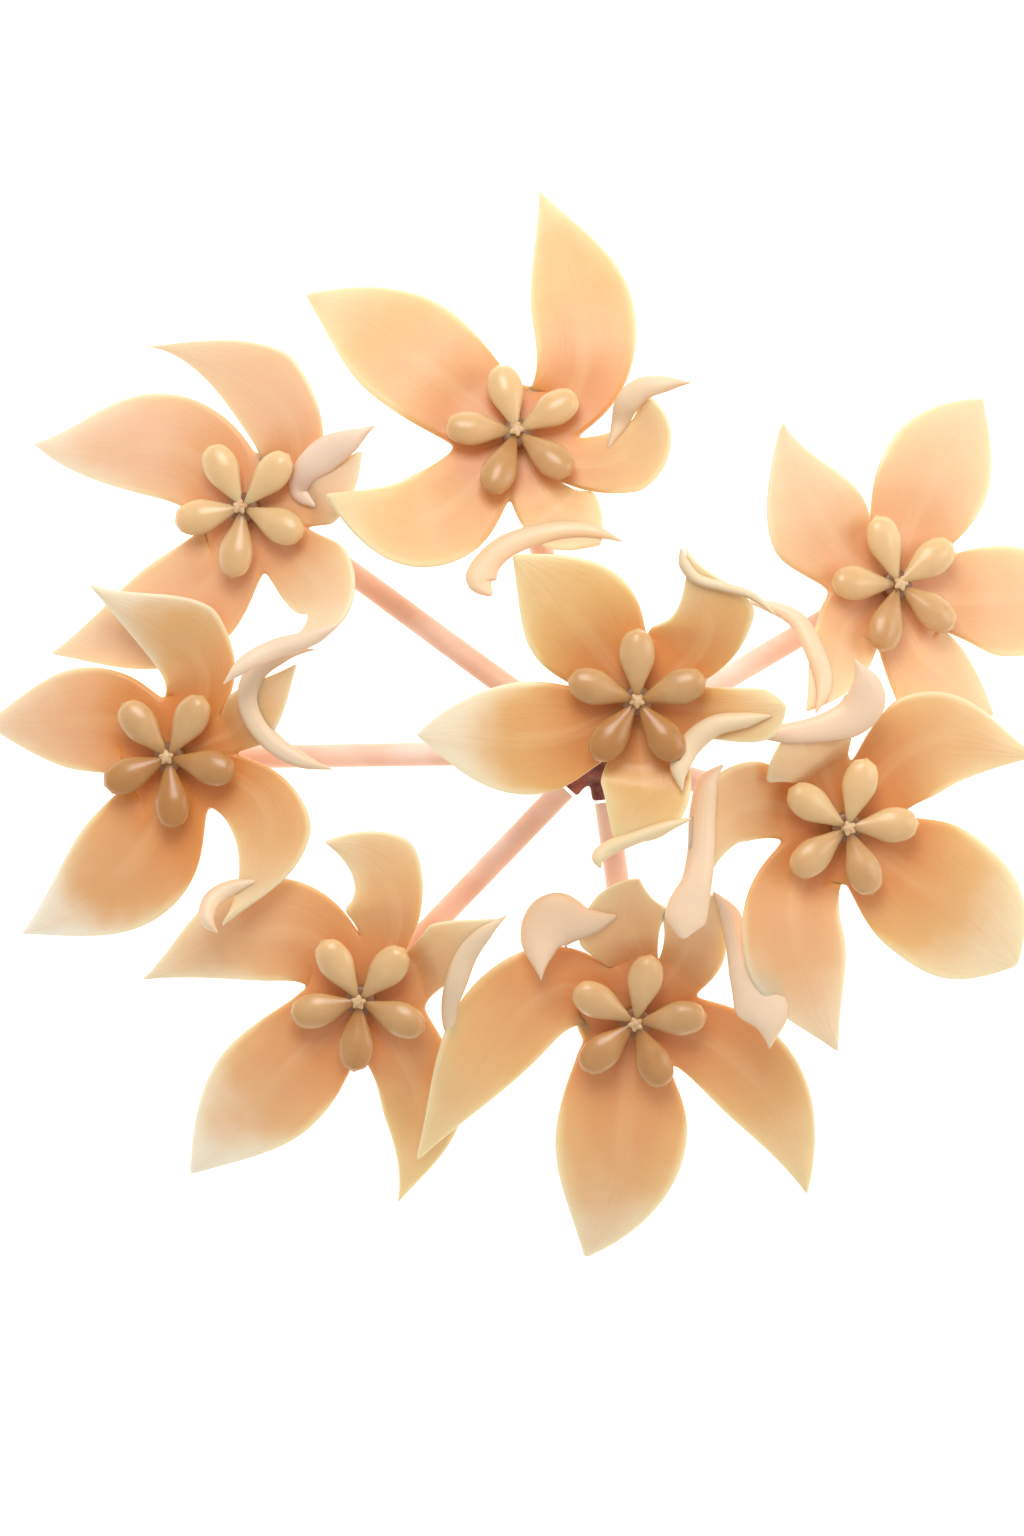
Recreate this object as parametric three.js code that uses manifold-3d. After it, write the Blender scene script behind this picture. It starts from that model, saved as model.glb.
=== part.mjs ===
// A hoya flower umbel: eight waxy five-lobed flowers, each on its own pedicel, all rising from one
// knobbly rachis above the cut peduncle. It lies face up. Millimetres, +Z up, resting on z = 0.
import * as THREE from 'three';
import { mergeVertices } from 'three/addons/utils/BufferGeometryUtils.js';
import Module from 'manifold-3d';

// driving dimensions
const LOBE_LENGTH = 22;            // flower centre to lobe tip; the flowers' spacing follows it
const UMBEL_RISE = 24;             // height of the front flower's centre above the surface
const DISC_RADIUS = 5.6;           // where the five lobes part
const PETAL_THICKNESS = 0.9;       // fleshy middle of a lobe
const MARGIN_THICKNESS = 0.5;      // lobe at its margin
const CORONA_REACH = 6.5;          // flower centre to the outer end of a corona lobe
const CORONA_LOBE_WIDTH = 3.7;
const CORONA_LOBE_DEPTH = 1.9;
const COLUMN_RADIUS = 1.3;         // the column that the corona lobes grow from
const STYLE_HEAD_RADIUS = 0.75;
const CALYX_RADIUS = 3.1;          // to the tips of the five sepals
const CALYX_DEPTH = 1.5;
const PEDICEL_DIAMETER = 2.0;
const RACHIS_DIAMETER = 6.2;
const RACHIS_HEIGHT = 5.4;
const PEDUNCLE_DIAMETER = 3.2;
const CLEARANCE = 0.3;             // between pieces that touch

// where the rachis stands: its middle, above the surface
const RACHIS_AT = [4.4, -2.6, 7];

// Each flower: its centre, the way it faces (degrees round from +X, and degrees from straight up) and
// its five lobes, counter-clockwise. A lobe's midrib passes through three points: a third of the way,
// two thirds and the tip. Each is given from the flower's centre, with its lift above the flower's
// own plane. half gives the half widths to the left and right of the midrib, looking to the tip.
const FLOWERS = {
  front: {
    at: [7.6, 1.9, 24], facing: 0, tilt: 0, coronaTurn: 18,
    lobes: [
      { midrib: [[6.1, 4.9, 1], [6.1, 9.2, 2], [4.3, 13.9, 3]], half: [4.6, 5.8],
        widest: 0.45, taper: 0.9, curlRight: 50, curlFrom: 0.3 },
      { midrib: [[-3.7, 5.1, 0.8], [-7.1, 9.2, 1.2], [-11.1, 13, 1]], half: [5, 5.6] },
      { midrib: [[-6.3, -3, 0.5], [-13, -3.2, 0], [-19.6, -3, -2]], half: [5.1, 5.1], taper: 0.1 },
      { midrib: [[0.5, -5, 0.5], [0.1, -9.5, 1], [-3.3, -14.5, 0]], half: [4.6, 4],
        widest: 0.55, taper: 0, curlLeft: -80, curlFrom: 0.45, curlAt: 0.4 },
      { midrib: [[5, -0.4, 0.5], [9.6, -1.3, 2], [4, -8.1, 4]], half: [2.9, 2.3],
        curlRight: 110, curlFrom: 0.5, curlAt: 0.2, curlLeft: -70 },
    ],
  },
  left_upper: {
    at: [-27.1, 19.2, 9.5], facing: 165, tilt: 18, coronaTurn: -25,
    lobes: [
      { midrib: [[4, 0.9, 1], [7.4, 3.8, 2], [11.3, 7.5, 3.5]], half: [2.9, 4.5],
        curlRight: 170, curlAt: 0.1, curlFrom: 0.3 },
      { midrib: [[4.2, 7.2, 1], [-1.6, 12.8, 0.5], [-9.6, 14.8, -1]], half: [4.3, 4.3],
        widest: 0.4, taper: 0.85 },
      { midrib: [[-6.6, 5.4, 0.5], [-13.2, 5.8, -0.4], [-19.8, 6.2, -2.4]], half: [4.7, 5],
        widest: 0.4, taper: 0.3 },
      { midrib: [[-2.9, -6.1, 0.3], [-9.9, -10.3, -0.8], [-18.2, -12.9, -3.9]], half: [5.2, 4.8],
        widest: 0.42, taper: 0.5 },
      { midrib: [[5, -5.6, 1.2], [5.4, -10.8, 3.6], [-2.4, -15.8, 6]], half: [4, 3.9],
        widest: 0.42, taper: 0.9, curlLeft: 110, curlFrom: 0.55 },
    ],
  },
  top: {
    at: [-3.1, 25.5, 11], facing: 90, tilt: 18, coronaTurn: 32,
    lobes: [
      { midrib: [[6.5, -2.3, 0.5], [12.5, -1.6, 2.5], [15.6, 5.1, 6]], half: [3.2, 4.6],
        widest: 0.45, taper: 0.6, curlLeft: 170, curlFrom: 0.4, curlAt: 0.15 },
      { midrib: [[5.5, 6.1, 1], [5.5, 14.4, 0.5], [2.2, 22.8, -3.2]], half: [4.7, 4.7],
        widest: 0.45, taper: 0.9 },
      { midrib: [[-5.5, 4.5, 0.8], [-11.3, 9.2, 0.3], [-19.1, 13.2, -2.5]], half: [5.4, 5.4],
        taper: 0.2 },
      { midrib: [[-5.5, -5.8, 0.5], [-10.4, -7.4, 1], [-17.2, -5, 3.5]], half: [4.8, 4.4] },
      { midrib: [[2.2, -5, -1], [5, -8.1, 0], [9.6, -9.3, 3]], half: [3.5, 4],
        curlRight: 120, curlFrom: 0.3, curlAt: 0.5, flareRight: [5, 0.45, 0.18] },
    ],
  },
  right_upper: {
    at: [30.5, 12.2, 10.5], facing: 20, tilt: 20, coronaTurn: 36,
    lobes: [
      { midrib: [[5, -1.2, 0.5], [11.7, -1.2, -0.5], [20.7, -2.5, -3.3]], half: [5.1, 5.1] },
      { midrib: [[2, 5.8, 0.8], [5.4, 12.3, 0.3], [8.5, 17.1, -0.5]], half: [5.3, 5.3],
        widest: 0.55, taper: 0 },
      { midrib: [[-5, 4.2, 1], [-8.5, 10.5, 1.5], [-9.7, 14.8, 2]], half: [5.8, 5],
        widest: 0.42, taper: 0.5 },
      { midrib: [[-4.7, -3.1, 0], [-5.6, -6.6, 0.5], [-7, -11.7, 2]], half: [3.5, 6.5],
        curlRight: 170, curlFrom: 0.3, curlAt: 0.35 },
      { midrib: [[2, -5.2, 0], [5.4, -8.4, -0.5], [9.4, -11.5, -2]], half: [3.4, 5] },
    ],
  },
  right_lower: {
    at: [26.2, -9.2, 14.5], facing: -30, tilt: 10, coronaTurn: 3,
    lobes: [
      { midrib: [[5.7, 6.6, 0.8], [11.1, 7.5, 0], [17.6, 6.2, -1.5]], half: [4.8, 4.8],
        widest: 0.45, taper: 0.5 },
      { midrib: [[-0.5, 5.4, 2], [-3.1, 7.5, 5], [-9.1, 8.1, 5]], half: [3, 3.5],
        curlRight: -60, cup: 40, flareRight: [6, 0.45, 0.12] },
      { midrib: [[-6, 1.5, 1.5], [-11.7, -1.3, 4], [-14.4, -10, 6]], half: [3.6, 5.6],
        curlRight: 160, curlFrom: 0.3, curlAt: 0.45 },
      { midrib: [[-4.5, -6.1, 0.6], [-3.8, -12.9, 0.6], [-0.4, -20.4, -1]], half: [4.7, 4.7],
        widest: 0.55, taper: 0.5 },
      { midrib: [[4.3, -3.3, 0.5], [10.2, -7.8, 0], [15.8, -12.6, -2]], half: [6.5, 6.3], taper: -0.5 },
    ],
  },
  left_lower: {
    at: [-16.9, -24.7, 8.5], facing: -135, tilt: 12, coronaTurn: -23,
    lobes: [
      { midrib: [[3.8, 2.2, 1.5], [8, 4.7, 3.5], [13, 7.5, 5.5]], half: [2.8, 4],
        curlRight: 140, curlFrom: 0.3, curlAt: 0.55, flareRight: [4, 0.45, 0.2] },
      { midrib: [[3.3, 6.5, 1], [2, 11.6, 1], [-3.5, 14, 2]], half: [5.2, 5], widest: 0.45, taper: 0.4 },
      { midrib: [[-5.9, 5.9, 0.8], [-12.7, 5, 0.3], [-20.1, 1.5, -1.5]], half: [4.8, 4.8],
        widest: 0.45, taper: 0.6 },
      { midrib: [[-5, -4.6, 0.5], [-10, -9.3, -0.3], [-15.8, -16.2, -3.3]], half: [5.5, 5],
        widest: 0.48, taper: 0.25 },
      { midrib: [[3.8, -5.7, -0.6], [5, -11.5, -3], [3, -18.8, -4]], half: [4.2, 3.4],
        widest: 0.5, taper: 0.6 },
    ],
  },
  bottom: {
    at: [7.6, -26.5, 9], facing: -90, tilt: 12, coronaTurn: 6,
    lobes: [
      { midrib: [[5, 6.5, 1.5], [9.3, 4.7, 1.5], [12, -2.7, 1.5]], half: [5.5, 2.5],
        taper: 0.2, flareLeft: [3, 0.8, 0.12], curlLeft: -40 },
      { midrib: [[0.9, 7.4, 2], [-2.2, 8.3, 3], [-8, 3.1, 4]], half: [2.2, 4.8],
        widest: 0.42, taper: 0.9, flareRight: [5.5, 0.85, 0.1], cup: 30 },
      { midrib: [[-6.8, 2.6, 0.5], [-12.6, -2.1, 0.9], [-19.8, -13.1, 1.3]], half: [4.2, 4.9],
        widest: 0.45, taper: 0.5 },
      { midrib: [[-0.8, -7, 0.3], [-1.9, -14.7, -0.5], [-4.5, -21.9, -4]], half: [6, 6],
        widest: 0.45, taper: 0.2 },
      { midrib: [[7.2, -2.5, 0], [12.6, -8.4, -1], [15.6, -16.2, -3]], half: [4.4, 4],
        widest: 0.45, taper: 0.3 },
    ],
  },
  left: {
    at: [-33.9, -3.1, 8.5], facing: 180, tilt: 14, coronaTurn: -13,
    lobes: [
      { midrib: [[4.9, 1.8, 1], [8.5, 1.7, 2], [14.4, -1.1, 4]], half: [3, 2.5],
        curlLeft: 140, curlAt: 0.55, curlFrom: 0.3, curlRight: 40, flareLeft: [8, 0.42, 0.2] },
      { midrib: [[2.9, 7.6, 1], [-0.8, 11.6, 1.5], [-7.8, 15.7, 3]], half: [4.2, 4.6],
        widest: 0.4, taper: 0.6 },
      { midrib: [[-5, 3.1, 0.5], [-11.2, 3.4, -0.5], [-17.3, 3.1, -3.8]], half: [4.8, 4.8],
        widest: 0.42, taper: 0.4 },
      { midrib: [[-1.4, -6.1, 0.3], [-6.7, -11.5, -0.8], [-14.1, -16, -4.4]], half: [5.8, 5.3],
        widest: 0.42, taper: 0.5 },
      { midrib: [[7.9, -3.9, 0.5], [7.9, -9.8, 1], [4, -15.8, 4]], half: [4.3, 3.9],
        widest: 0.45, taper: 0.8, curlLeft: 60, curlFrom: 0.5 },
    ],
  },
};

const LOBE_DEFAULTS = {
  widest: 0.5, taper: 0.25, curlLeft: 0, curlRight: 0, curlFrom: 0.3, curlAt: 0.35, cup: 0,
};
const REFERENCE_LOBE = 22;         // the lobe length that the flowers' points are given at
const REFERENCE_RISE = 24;
const spread = LOBE_LENGTH / REFERENCE_LOBE;
const rise = UMBEL_RISE / REFERENCE_RISE;

// mesh density
const ROWS = 6;                    // along a lobe, beyond the disc
const COLUMNS = 6;                 // across a lobe
const DISC_RINGS = 1;
const MIDRIB_STEPS = 40;           // steps that a midrib's length is measured in
const CURL_STEPS = 10;             // steps that a curled margin is followed in
const START_STEP = 0.002;          // step of the search for where a midrib leaves the disc
const LAST = 0.999;

// how a lobe blends out of the disc, as shares of its free length
const OUTLINE_POWER = 0.65;        // below 1 a lobe widens quickly
const WIDTH_BLEND = 0.3;           // over which it takes its own width
const BEND_BLEND = 0.35;           // over which it joins its midrib
const BOW_BLEND = 0.4;             // over which the disc's round edge fades out
const CURL_BLEND = 0.25;           // over which a curl sets in
const SECTOR_LIMIT = 1.1;          // the most of its sector, in radians each way, that a lobe fills
const ROOM_AT_DISC = 0.96;         // share of that sector open to it at the disc
const ROOM_GROWTH = 1.6;           // and how much more towards the tip

const rad = THREE.MathUtils.degToRad;
const smooth = (x) => {
  const c = THREE.MathUtils.clamp(x, 0, 1);
  return c * c * (3 - 2 * c);
};

// ---- materials ----------------------------------------------------------------------------------
const finish = (color, roughness) => new THREE.MeshStandardMaterial({ color, roughness, metalness: 0 });
const petalWax = () => finish(0xf0b87c, 0.42);
const coronaWax = () => finish(0xe9d2a6, 0.38);
const styleCream = () => finish(0xc9a06a, 0.5);
const calyxPink = () => finish(0xe0a488, 0.55);
const pedicelPink = () => finish(0xeab6a2, 0.55);
const rachisBrown = () => finish(0x84463a, 0.7);

// ---- the surface of a lobe ----------------------------------------------------------------------
// the direction that a flower faces
function facingOf(flower) {
  const round = rad(flower.facing);
  const lean = rad(flower.tilt);
  return new THREE.Vector3(
    Math.cos(round) * Math.sin(lean), Math.sin(round) * Math.sin(lean), Math.cos(lean));
}

// a midrib as a curve from the flower's centre through its three points
function midribOf(lobe, normal) {
  const [a, b, tip] = lobe.midrib.map(([x, y, lift]) => {
    const px = x * spread;
    const py = y * spread;
    return new THREE.Vector3(px, py, lift * rise - (normal.x * px + normal.y * py) / normal.z);
  });
  const first = a.clone().multiplyScalar(3).addScaledVector(b, -1.5).addScaledVector(tip, 1 / 3);
  const second = b.clone().multiplyScalar(3).addScaledVector(a, -1.5).addScaledVector(tip, -5 / 6);
  return new THREE.CubicBezierCurve3(new THREE.Vector3(), first, second, tip);
}

// share of the half width at a share of the length: quick to widen, then in to the tip
function outline(along, widest, taper) {
  if (along < widest) return Math.sin((Math.PI / 2) * (along / widest)) ** OUTLINE_POWER;
  const past = (along - widest) / (1 - widest);
  return (1 - taper) * (1 - past * past) + taper * (0.5 + 0.5 * Math.cos(Math.PI * past));
}

// how far across and how far up a point on the half width lies, once the margin is cupped and curled
function across(share, cup, curl, curlAt) {
  let over = 0;
  let up = 0;
  for (let i = 0; i < CURL_STEPS; i += 1) {
    const x = ((i + 0.5) / CURL_STEPS) * share;
    const turn = cup * x + curl * smooth((x - curlAt) / (1 - curlAt));
    over += (Math.cos(turn) * share) / CURL_STEPS;
    up += (Math.sin(turn) * share) / CURL_STEPS;
  }
  return [over, up];
}

// everything that the rows of one lobe need: where its midrib leaves the disc, and its sector
function lobeFrames(flower) {
  const normal = facingOf(flower);
  const east = new THREE.Vector3(0, 1, 0).cross(normal).normalize();
  const north = normal.clone().cross(east);
  const frames = flower.lobes.map((given) => {
    const lobe = { ...LOBE_DEFAULTS, ...given };
    const rib = midribOf(lobe, normal);
    let start = 0;
    while (rib.getPoint(start).length() < DISC_RADIUS) start += START_STEP;
    const leave = rib.getPoint(start);
    return { lobe, rib, start, angle: Math.atan2(leave.dot(north), leave.dot(east)) };
  });
  const turn = 2 * Math.PI;
  frames.forEach((frame, i) => {
    const next = frames[(i + 1) % 5].angle;
    const before = frames[(i + 4) % 5].angle;
    frame.left = ((((next - frame.angle) % turn) + turn) % turn) / 2;
    frame.right = ((((frame.angle - before) % turn) + turn) % turn) / 2;
  });
  return { normal, east, north, frames };
}

// one cross row of a lobe, COLUMNS + 1 points from its right margin to its left
function lobeRow(frame, share, carried) {
  const { lobe, rib, start, left, right } = frame;
  const t = start + (1 - start) * share;
  const tangent = rib.getTangent(t);
  const bend = new THREE.Quaternion().setFromUnitVectors(carried.tangent, tangent);
  carried.up.applyQuaternion(bend);
  carried.tangent.copy(tangent);
  const side = carried.up.clone().cross(tangent);
  const middle = rib.getPoint(t).addScaledVector(carried.offset, 1 - smooth(share / BEND_BLEND));
  const along = arcShare(rib, t);
  const free = 1 - (1 - Math.min(1, share / WIDTH_BLEND)) ** 2;
  const row = [];
  for (let j = 0; j <= COLUMNS; j += 1) {
    const v = -1 + (2 * j) / COLUMNS;
    const onLeft = v > 0;
    const sector = onLeft ? left : right;
    const flare = onLeft ? lobe.flareLeft : lobe.flareRight;
    let wide = lobe.half[onLeft ? 0 : 1] * spread * outline(along, lobe.widest, lobe.taper);
    if (flare) wide += flare[0] * spread * Math.exp(-(((along - flare[1]) / flare[2]) ** 2));
    wide = wide * free + DISC_RADIUS * Math.sin(sector) * (1 - free);
    const room = middle.length() * Math.sin(Math.min(sector, SECTOR_LIMIT));
    wide = Math.min(wide, room * (ROOM_AT_DISC + ROOM_GROWTH * share * share));
    if (share > LAST) wide = 0;
    const bow = DISC_RADIUS * (1 - Math.cos(sector)) * (1 - smooth(share / BOW_BLEND));
    const curl = rad(onLeft ? lobe.curlLeft : lobe.curlRight) * smooth((t - lobe.curlFrom) / CURL_BLEND);
    const cup = rad(lobe.cup) * smooth(share / WIDTH_BLEND);
    const [over, up] = across(Math.abs(v), cup, curl, lobe.curlAt);
    row.push(middle.clone()
      .addScaledVector(side, wide * over * (onLeft ? 1 : -1))
      .addScaledVector(carried.up, wide * up)
      .addScaledVector(tangent, -bow * v * v));
  }
  return row;
}

// share of the curve's length at parameter t
function arcShare(curve, t) {
  const lengths = curve.getLengths(MIDRIB_STEPS);
  const at = t * MIDRIB_STEPS;
  const low = Math.floor(at);
  const high = Math.min(MIDRIB_STEPS, low + 1);
  return THREE.MathUtils.lerp(lengths[low], lengths[high], at - low) / lengths[MIDRIB_STEPS];
}

// The middle surface of a whole corolla: points, triangles, and each point's half thickness. The disc
// is shared by its five lobes, so the corolla is one piece.
function corollaSurface(flower) {
  const { normal, east, north, frames } = lobeFrames(flower);
  const points = [new THREE.Vector3()];
  const thickness = [PETAL_THICKNESS / 2];
  const triangles = [];
  const quad = (a, b, c, d) => {
    if (a !== b) triangles.push([a, b, c]);
    if (c !== d) triangles.push([a, c, d]);
  };
  const ring = [];
  for (let k = 1; k <= DISC_RINGS; k += 1) {
    const radius = (DISC_RADIUS * k) / DISC_RINGS;
    const ids = [];
    frames.forEach((frame) => {
      for (let j = 0; j < COLUMNS; j += 1) {
        const v = -1 + (2 * j) / COLUMNS;
        const angle = frame.angle + v * (v > 0 ? frame.left : frame.right);
        ids.push(points.length);
        points.push(new THREE.Vector3()
          .addScaledVector(east, radius * Math.cos(angle))
          .addScaledVector(north, radius * Math.sin(angle)));
        thickness.push(PETAL_THICKNESS / 2);
      }
    });
    ring.push(ids);
  }
  const around = 5 * COLUMNS;
  for (let m = 0; m < around; m += 1) {
    triangles.push([0, ring[0][m], ring[0][(m + 1) % around]]);
    for (let k = 1; k < DISC_RINGS; k += 1) {
      quad(ring[k - 1][m], ring[k][m], ring[k][(m + 1) % around], ring[k - 1][(m + 1) % around]);
    }
  }
  frames.forEach((frame, i) => {
    let below = [];
    for (let j = 0; j <= COLUMNS; j += 1) {
      below.push(ring[DISC_RINGS - 1][(i * COLUMNS + j) % around]);
    }
    const leave = frame.rib.getPoint(frame.start);
    const tangent = frame.rib.getTangent(frame.start);
    const up = normal.clone().addScaledVector(tangent, -normal.dot(tangent)).normalize();
    const onRing = new THREE.Vector3()
      .addScaledVector(east, DISC_RADIUS * Math.cos(frame.angle))
      .addScaledVector(north, DISC_RADIUS * Math.sin(frame.angle));
    const carried = { tangent, up, offset: onRing.sub(leave) };
    for (let k = 1; k <= ROWS; k += 1) {
      const row = lobeRow(frame, k / ROWS, carried);
      const tip = k === ROWS;
      const ids = [];
      for (let j = 0; j <= COLUMNS; j += 1) {
        if (tip && j > 0) {
          ids.push(ids[0]);
        } else {
          const v = Math.abs(-1 + (2 * j) / COLUMNS);
          ids.push(points.length);
          points.push(row[j]);
          thickness.push(tip ? MARGIN_THICKNESS / 2
            : THREE.MathUtils.lerp(PETAL_THICKNESS, MARGIN_THICKNESS, v * v) / 2);
        }
      }
      for (let j = 0; j < COLUMNS; j += 1) quad(below[j], ids[j], ids[j + 1], below[j + 1]);
      below = ids;
    }
  });
  return { points, triangles, thickness };
}

// ---- closed bodies ------------------------------------------------------------------------------
// a sheet given its thickness: both faces, and a wall along its open edge
function thicken({ points, triangles, thickness }) {
  const normals = points.map(() => new THREE.Vector3());
  const face = new THREE.Vector3();
  const edge = new THREE.Vector3();
  triangles.forEach(([a, b, c]) => {
    face.subVectors(points[b], points[a]).cross(edge.subVectors(points[c], points[a]));
    [a, b, c].forEach((id) => normals[id].add(face));
  });
  normals.forEach((n) => n.normalize());
  const count = points.length;
  const positions = [];
  points.forEach((p, i) => positions.push(...p.clone().addScaledVector(normals[i], thickness[i]).toArray()));
  points.forEach((p, i) => positions.push(...p.clone().addScaledVector(normals[i], -thickness[i]).toArray()));
  const index = [];
  const open = new Map();
  triangles.forEach(([a, b, c]) => {
    index.push(a, b, c, count + a, count + c, count + b);
    [[a, b], [b, c], [c, a]].forEach(([p, q]) => {
      if (!open.delete(`${q},${p}`)) open.set(`${p},${q}`, [p, q]);
    });
  });
  open.forEach(([p, q]) => index.push(p, count + p, count + q, p, count + q, q));
  return indexed(positions, index);
}

function indexed(positions, index) {
  const geometry = new THREE.BufferGeometry();
  geometry.setAttribute('position', new THREE.Float32BufferAttribute(positions, 3));
  geometry.setIndex(index);
  geometry.computeVertexNormals();
  return geometry;
}

// a closed skin over stacked rings of points, with a point at each end
function skin(first, rings, last) {
  const sides = rings[0].length;
  const positions = [...first.toArray()];
  rings.forEach((ring) => ring.forEach((p) => positions.push(...p.toArray())));
  positions.push(...last.toArray());
  const end = 1 + rings.length * sides;
  const index = [];
  for (let j = 0; j < sides; j += 1) {
    const k = (j + 1) % sides;
    index.push(0, 1 + k, 1 + j);
    for (let r = 0; r + 1 < rings.length; r += 1) {
      const a = 1 + r * sides;
      const b = a + sides;
      index.push(a + j, a + k, b + k, a + j, b + k, b + j);
    }
    const a = end - sides;
    index.push(a + j, a + k, end);
  }
  return indexed(positions, index);
}

// rings round the Z axis at given heights, each with its own radius rule
function turned(heights, radiusAt, sides) {
  const rings = heights.map((z, level) => Array.from({ length: sides }, (_, j) => {
    const angle = (2 * Math.PI * j) / sides;
    const radius = radiusAt(level, angle);
    return new THREE.Vector3(radius * Math.cos(angle), radius * Math.sin(angle), z);
  }));
  return skin(new THREE.Vector3(0, 0, heights[0]), rings, new THREE.Vector3(0, 0, heights.at(-1)));
}

// ---- joining with manifold-3d -------------------------------------------------------------------
const wasm = await Module();
wasm.setup();

function solid(geometry) {
  return new wasm.Manifold(new wasm.Mesh({
    numProp: 3,
    vertProperties: new Float32Array(geometry.getAttribute('position').array),
    triVerts: new Uint32Array(geometry.index.array),
  }));
}

function joined(geometries) {
  const [first, ...rest] = geometries.map(solid);
  const mesh = rest.reduce((whole, next) => whole.add(next), first).getMesh();
  return indexed(Array.from(mesh.vertProperties), Array.from(mesh.triVerts));
}

// ---- the pieces of a flower, in the flower's own frame with +Z the way it faces -----------------
const CORONA_FOOT = PETAL_THICKNESS / 2 + CLEARANCE;
const CORONA_STAND = 1.3;          // from the foot of the column to the middle of the pods
const CORONA_LIFT = 0.35;          // how much higher a pod's outer end is
const COLUMN_RISE = 0.5;           // the column above the middle of the pods
const STYLE_HEAD_HEIGHT = 0.7;
const STYLE_TOP = 0.55;            // share of its radius that the style head keeps at the top
const STYLE_POINTS = 0.22;         // how far its five points stand out
const CORONA_MIDDLE = CORONA_FOOT + CORONA_STAND;

const POD_LEVELS = [0.1, 0.36, 0.62, 0.86];   // shares of the reach
const POD_SIDES = 8;
const POD_OUTWARD = 1.25;          // above 1 moves the widest place outwards
const POD_FULLNESS = 0.62;         // below 1 rounds the ends
const COLUMN_SIDES = 10;

// one corona lobe: a smooth pod, narrow and low at the column, full and rounded at its outer end
function coronaPod() {
  const rings = POD_LEVELS.map((s) => {
    const girth = Math.sin(Math.PI * s ** POD_OUTWARD) ** POD_FULLNESS;
    return Array.from({ length: POD_SIDES }, (_, j) => {
      const angle = (2 * Math.PI * j) / POD_SIDES;
      return new THREE.Vector3(
        CORONA_REACH * s,
        (CORONA_LOBE_WIDTH / 2) * girth * Math.cos(angle),
        (CORONA_LOBE_DEPTH / 2) * girth * Math.sin(angle) + CORONA_LIFT * s);
    });
  });
  return skin(new THREE.Vector3(), rings, new THREE.Vector3(CORONA_REACH, 0, CORONA_LIFT));
}

function coronaGeometry(turnDegrees) {
  const pods = Array.from({ length: 5 }, (_, k) => coronaPod()
    .rotateZ(rad(turnDegrees + 72 * k))
    .translate(0, 0, CORONA_MIDDLE));
  const column = turned([CORONA_FOOT, CORONA_MIDDLE + COLUMN_RISE], () => COLUMN_RADIUS, COLUMN_SIDES);
  return joined([column, ...pods]);
}

// the style head: a tiny five-pointed knob over the column
function styleHeadGeometry(turnDegrees) {
  const foot = CORONA_MIDDLE + COLUMN_RISE + CLEARANCE;
  const star = (level, angle) => STYLE_HEAD_RADIUS * (level === 1 ? STYLE_TOP : 1)
    * (1 + STYLE_POINTS * Math.cos(5 * (angle - rad(turnDegrees + 36))));
  return turned([foot, foot + STYLE_HEAD_HEIGHT], star, COLUMN_SIDES);
}

const SEPAL_LOBING = [0, 0.16, 0.24];   // how deeply the calyx is lobed, from its foot to its rim
const CALYX_WAIST = 0.45;          // height of its middle level, as a share down from the rim
const CALYX_SIDES = 15;

// the calyx: a shallow cup with five blunt sepals against the underside of the disc
function calyxGeometry(turnDegrees) {
  const top = -PETAL_THICKNESS / 2 - CLEARANCE;
  const stem = PEDICEL_DIAMETER / 2;
  const reach = [stem, (stem + CALYX_RADIUS) / 2, CALYX_RADIUS];
  const heights = [top - CALYX_DEPTH, top - CALYX_DEPTH * CALYX_WAIST, top];
  const cup = (level, angle) => reach[level]
    * (1 - SEPAL_LOBING[level] * (1 - Math.cos(5 * (angle - rad(turnDegrees)))));
  return turned(heights, cup, CALYX_SIDES);
}

// ---- stalks -------------------------------------------------------------------------------------
const SOCKET_REACH = 1.2;          // how far a socket stands out of the rachis
const SOCKET_GIRTH = 1.25;         // its diameter over the pedicel's
const SOCKET_ROOT = 0.3;           // where it starts, as a share of the way out from the middle
const LEAVE_FLATNESS = 0.35;       // below 1 a pedicel leaves the rachis nearer the level
const LEAVE_HANDLE = 0.45;         // handles of its curve, as shares of its span
const ARRIVE_HANDLE = 0.28;
const STALK_SIDES = 8;
const PEDICEL_STEPS = 7;
const RACHIS_LEVELS = [-1, -0.7, -0.2, 0.3, 0.75, 1];         // shares of its half height
const RACHIS_GIRTH = [0.45, 0.86, 1, 0.97, 0.74, 0.32];       // shares of its radius there
const RACHIS_KNOBBLE = 0.05;
const RACHIS_SIDES = 12;
const PEDUNCLE_GIRTH = [1, 0.94, 1.05];   // foot, middle and top, as shares of its radius
const PEDUNCLE_SIDES = 14;

// a round stalk along a curve, closed at both ends
function stalk(curve, diameter, steps, sides) {
  const section = new THREE.Shape();
  for (let j = 0; j < sides; j += 1) {
    const angle = (2 * Math.PI * j) / sides;
    const place = [(diameter / 2) * Math.cos(angle), (diameter / 2) * Math.sin(angle)];
    if (j === 0) section.moveTo(...place);
    else section.lineTo(...place);
  }
  return new THREE.ExtrudeGeometry(section, { steps, bevelEnabled: false, extrudePath: curve });
}

const SOCKET_OUT = RACHIS_DIAMETER / 2 + SOCKET_REACH + CLEARANCE;
const rachisMiddle = new THREE.Vector3(RACHIS_AT[0] * spread, RACHIS_AT[1] * spread, RACHIS_AT[2] * rise);

function centreOf(flower) {
  return new THREE.Vector3(flower.at[0] * spread, flower.at[1] * spread, flower.at[2] * rise);
}

// where a pedicel ends, under its calyx
function pedicelTop(flower) {
  const below = PETAL_THICKNESS / 2 + CALYX_DEPTH + 2 * CLEARANCE;
  return centreOf(flower).addScaledVector(facingOf(flower), -below);
}

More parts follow.
